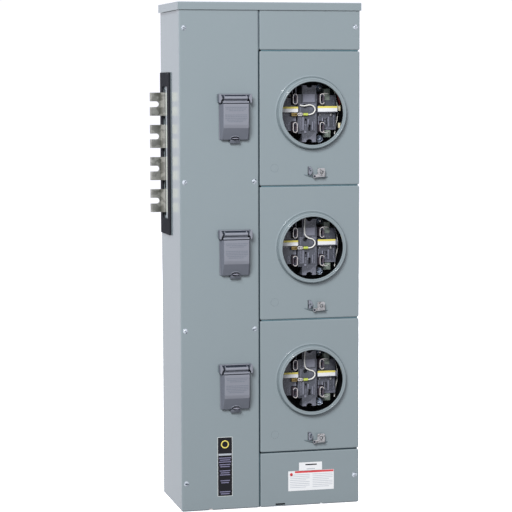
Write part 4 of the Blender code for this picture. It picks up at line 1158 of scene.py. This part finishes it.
def nameplate():
    """Dark plate with a pale rim, a plain ring, a band and bars in place of text."""
    sticker("nameplate_rim", (-0.1450, -0.1045), (0.0355, 0.1930), 0.0022, "sticker_rim")
    sticker("nameplate_field", (-0.1436, -0.1059), (0.0369, 0.1916), 0.0014, "sticker_black", 1)
    section = [(radius, FRONT - 0.00030 - out) for radius, out in ((0.0078, 0.00015), (0.0106, 0.00015))]
    section += [(0.0106, FRONT - 0.00030), (0.0078, FRONT - 0.00030)]
    piece("nameplate_ring", turned(section, (NAMEPLATE_X, 0.1735), 48), "sticker_yellow")
    sticker("nameplate_band", (-0.1424, -0.1071), (0.1440, 0.1490), 0.0004, "sticker_grey", 2)
    groups = ((0.1385, 3, 0.0165), (0.1210, 2, 0.0145), (0.1045, 3, 0.0140),
              (0.0785, 2, 0.0125), (0.0490, 2, 0.0140))
    for group, (top, lines, half) in enumerate(groups):
        for line in range(lines):
            z = top - 0.0053 * line
            reach = half - 0.0022 * (line % 2)
            across = (NAMEPLATE_X - reach, NAMEPLATE_X + reach)
            name = f"nameplate_line_{group + 1}_{line + 1}"
            sticker(name, across, (z - 0.0024, z), 0.0003, "sticker_slate", 2)


def data_labels():
    """Two white labels with plain bars, a red band and a dot in place of text and pictogram."""
    sticker("small_label", (0.0755, 0.1385), (0.0905, 0.1145), 0.0008, "sticker_white")
    sticker("small_label_bar_1", (0.0930, 0.1240), (0.1065, 0.1098), 0.0003, "sticker_black", 1)
    sticker("small_label_bar_2", (0.0960, 0.1190), (0.0955, 0.0978), 0.0003, "sticker_grey", 1)
    sticker("large_label", (0.0460, 0.1710), (0.0395, 0.0925), 0.0008, "sticker_white")
    sticker("large_label_band", (0.0640, 0.1700), (0.0868, 0.0918), 0.0004, "sticker_red", 1)
    dot = disc((0.0545, 0.0835), 0.0042, 1, (FRONT - 0.00030, FRONT - 0.00020), 24)
    piece("large_label_dot", dot, "sticker_red")
    for column, (left, right) in enumerate(((0.0505, 0.1045), (0.1125, 0.1675))):
        for row in range(8):
            z = 0.0815 - row * 0.0048
            end = right - (0.010 if row in (3, 7) else 0.0)
            name = f"large_label_line_{column + 1}_{row + 1}"
            sticker(name, (left, end), (z, z + 0.0011), 0.0002, "sticker_grey", 1)


# ---------------------------------------------------------------- carried-over nodes

def dress_frame_nodes():
    """Finishes for the CAD nodes whose shape stays."""
    # The jaws' dark finish is painted shade of their recesses.
    finishes = {"meter_frame": "inner", "bus_support": "black", "riser_bar": "copper",
                "ground_bar": "copper", "line_jaw": "recess", "load_jaw": "recess",
                "breaker_case": "breaker", "breaker_toggle": "breaker"}
    for name, node in frame["nodes"].items():
        for start, material in finishes.items():
            if name.startswith(start):
                node.data.materials.clear()
                node.data.materials.append(MAT[material])


# ---------------------------------------------------------------- studio

def soft_light(name, place, aim, size, power, colour=(1, 1, 1), mirrored=False):
    """An area light. Unless it is mirrored, glossy surfaces don't show it."""
    data = bpy.data.lights.new(name, "AREA")
    data.shape = "RECTANGLE"
    data.size, data.size_y = size
    data.energy = power
    data.color = colour
    lamp = bpy.data.objects.new(name, data)
    lamp.location = place
    lamp.visible_glossy = mirrored
    lamp.rotation_euler = (Vector(aim) - Vector(place)).to_track_quat("-Z", "Y").to_euler()
    bpy.context.scene.collection.objects.link(lamp)


def surroundings():
    """White to the camera, and dimmer as a source of light than in reflections."""
    world = bpy.data.worlds.new("studio")
    bpy.context.scene.world = world
    world.use_nodes = True
    tree = world.node_tree
    background = tree.nodes["Background"]
    background.inputs["Color"].default_value = (0.970, 0.970, 1.045, 1.0)
    tree.links.new(ray_kind(tree, 0.31, 0.75, 0.64), background.inputs["Strength"])


def studio_floor():
    """A plain floor that stays pale in shadow, to the camera and in reflections alike."""
    floor = prism([(-9, -9), (9, -9), (9, 12), (-9, 12)], 2, (-0.02, -0.0005))
    floor.name = "studio_floor"
    graph = Graph("floor_white")
    tone = graph.mix(graph.noise(2.0), (0.90, 0.90, 0.90, 1), (0.94, 0.94, 0.94, 1))
    shade = ray_kind(graph.tree, 0.26, 0.74, -0.26)
    dim = graph.node("ShaderNodeCombineColor", {0: shade, 1: shade, 2: shade})
    graph.fill(graph.shader, {"Base Color": graph.mix(1.0, tone, dim.outputs[0], "MULTIPLY"),
                              "Roughness": 0.8, "Emission Color": (0.94, 0.94, 1.0, 1),
                              "Emission Strength": ray_kind(graph.tree, 0.0, 0.77, 0.86)})
    floor.data.materials.append(graph.material)


def lamps():
    """One large soft light from the upper left, a small one for metal, and fills at the sides and back."""
    middle = (0, FRONT, TOP * 0.5)
    soft_light("key_left", (-3.1, -5.4, 4.9), middle, (2.6, 2.6), 555)
    soft_light("sparkle", (-1.6, -5.2, 3.4), middle, (0.45, 0.45), 40, mirrored=True)
    soft_light("side_left", (-3.6, 0.8, 1.6), (-SIDE, 0, TOP * 0.5), (2.0, 2.6), 26, (0.86, 0.89, 1.0))
    soft_light("side_right", (4.2, 1.2, 2.2), (SIDE, 0, TOP * 0.5), (2.6, 2.6), 130)
    soft_light("back", (-0.8, 5.0, 3.2), (0, BACK, TOP * 0.5), (2.6, 2.6), 330)


def camera():
    """A long lens to the left of the object, turned to the right and a little down."""
    data = bpy.data.cameras.new("camera")
    data.sensor_width = 36
    data.lens = 130.4
    cam = bpy.data.objects.new("camera", data)
    bpy.context.scene.collection.objects.link(cam)
    turn = spin(math.radians(-13.895), "Z") @ spin(math.radians(84.74), "X") @ spin(math.radians(-0.15), "Z")
    cam.matrix_world = Matrix.Translation((-0.951 - SIDE, FRONT - 4.653, 1.106)) @ turn
    bpy.context.scene.camera = cam


def build():
    enclosure_shell()
    rain_cap()
    plain_covers()
    seam_strips()
    of_each_unit = (meter_cover, latch_arm, seal_fin, latch_sill, breaker_lid, lid_ribs, lid_frame,
                    socket_block, socket_details, jaw_clips, strips, neutral_wire, socket_hardware)
    for unit in UNITS:
        for make in of_each_unit:
            make(unit)
    cover_screws()
    bus_bezel()
    bus_bars()
    nameplate()
    data_labels()
    dress_frame_nodes()
    surroundings()
    studio_floor()
    lamps()
    camera()
    bpy.context.scene.view_settings.view_transform = "Standard"


build()
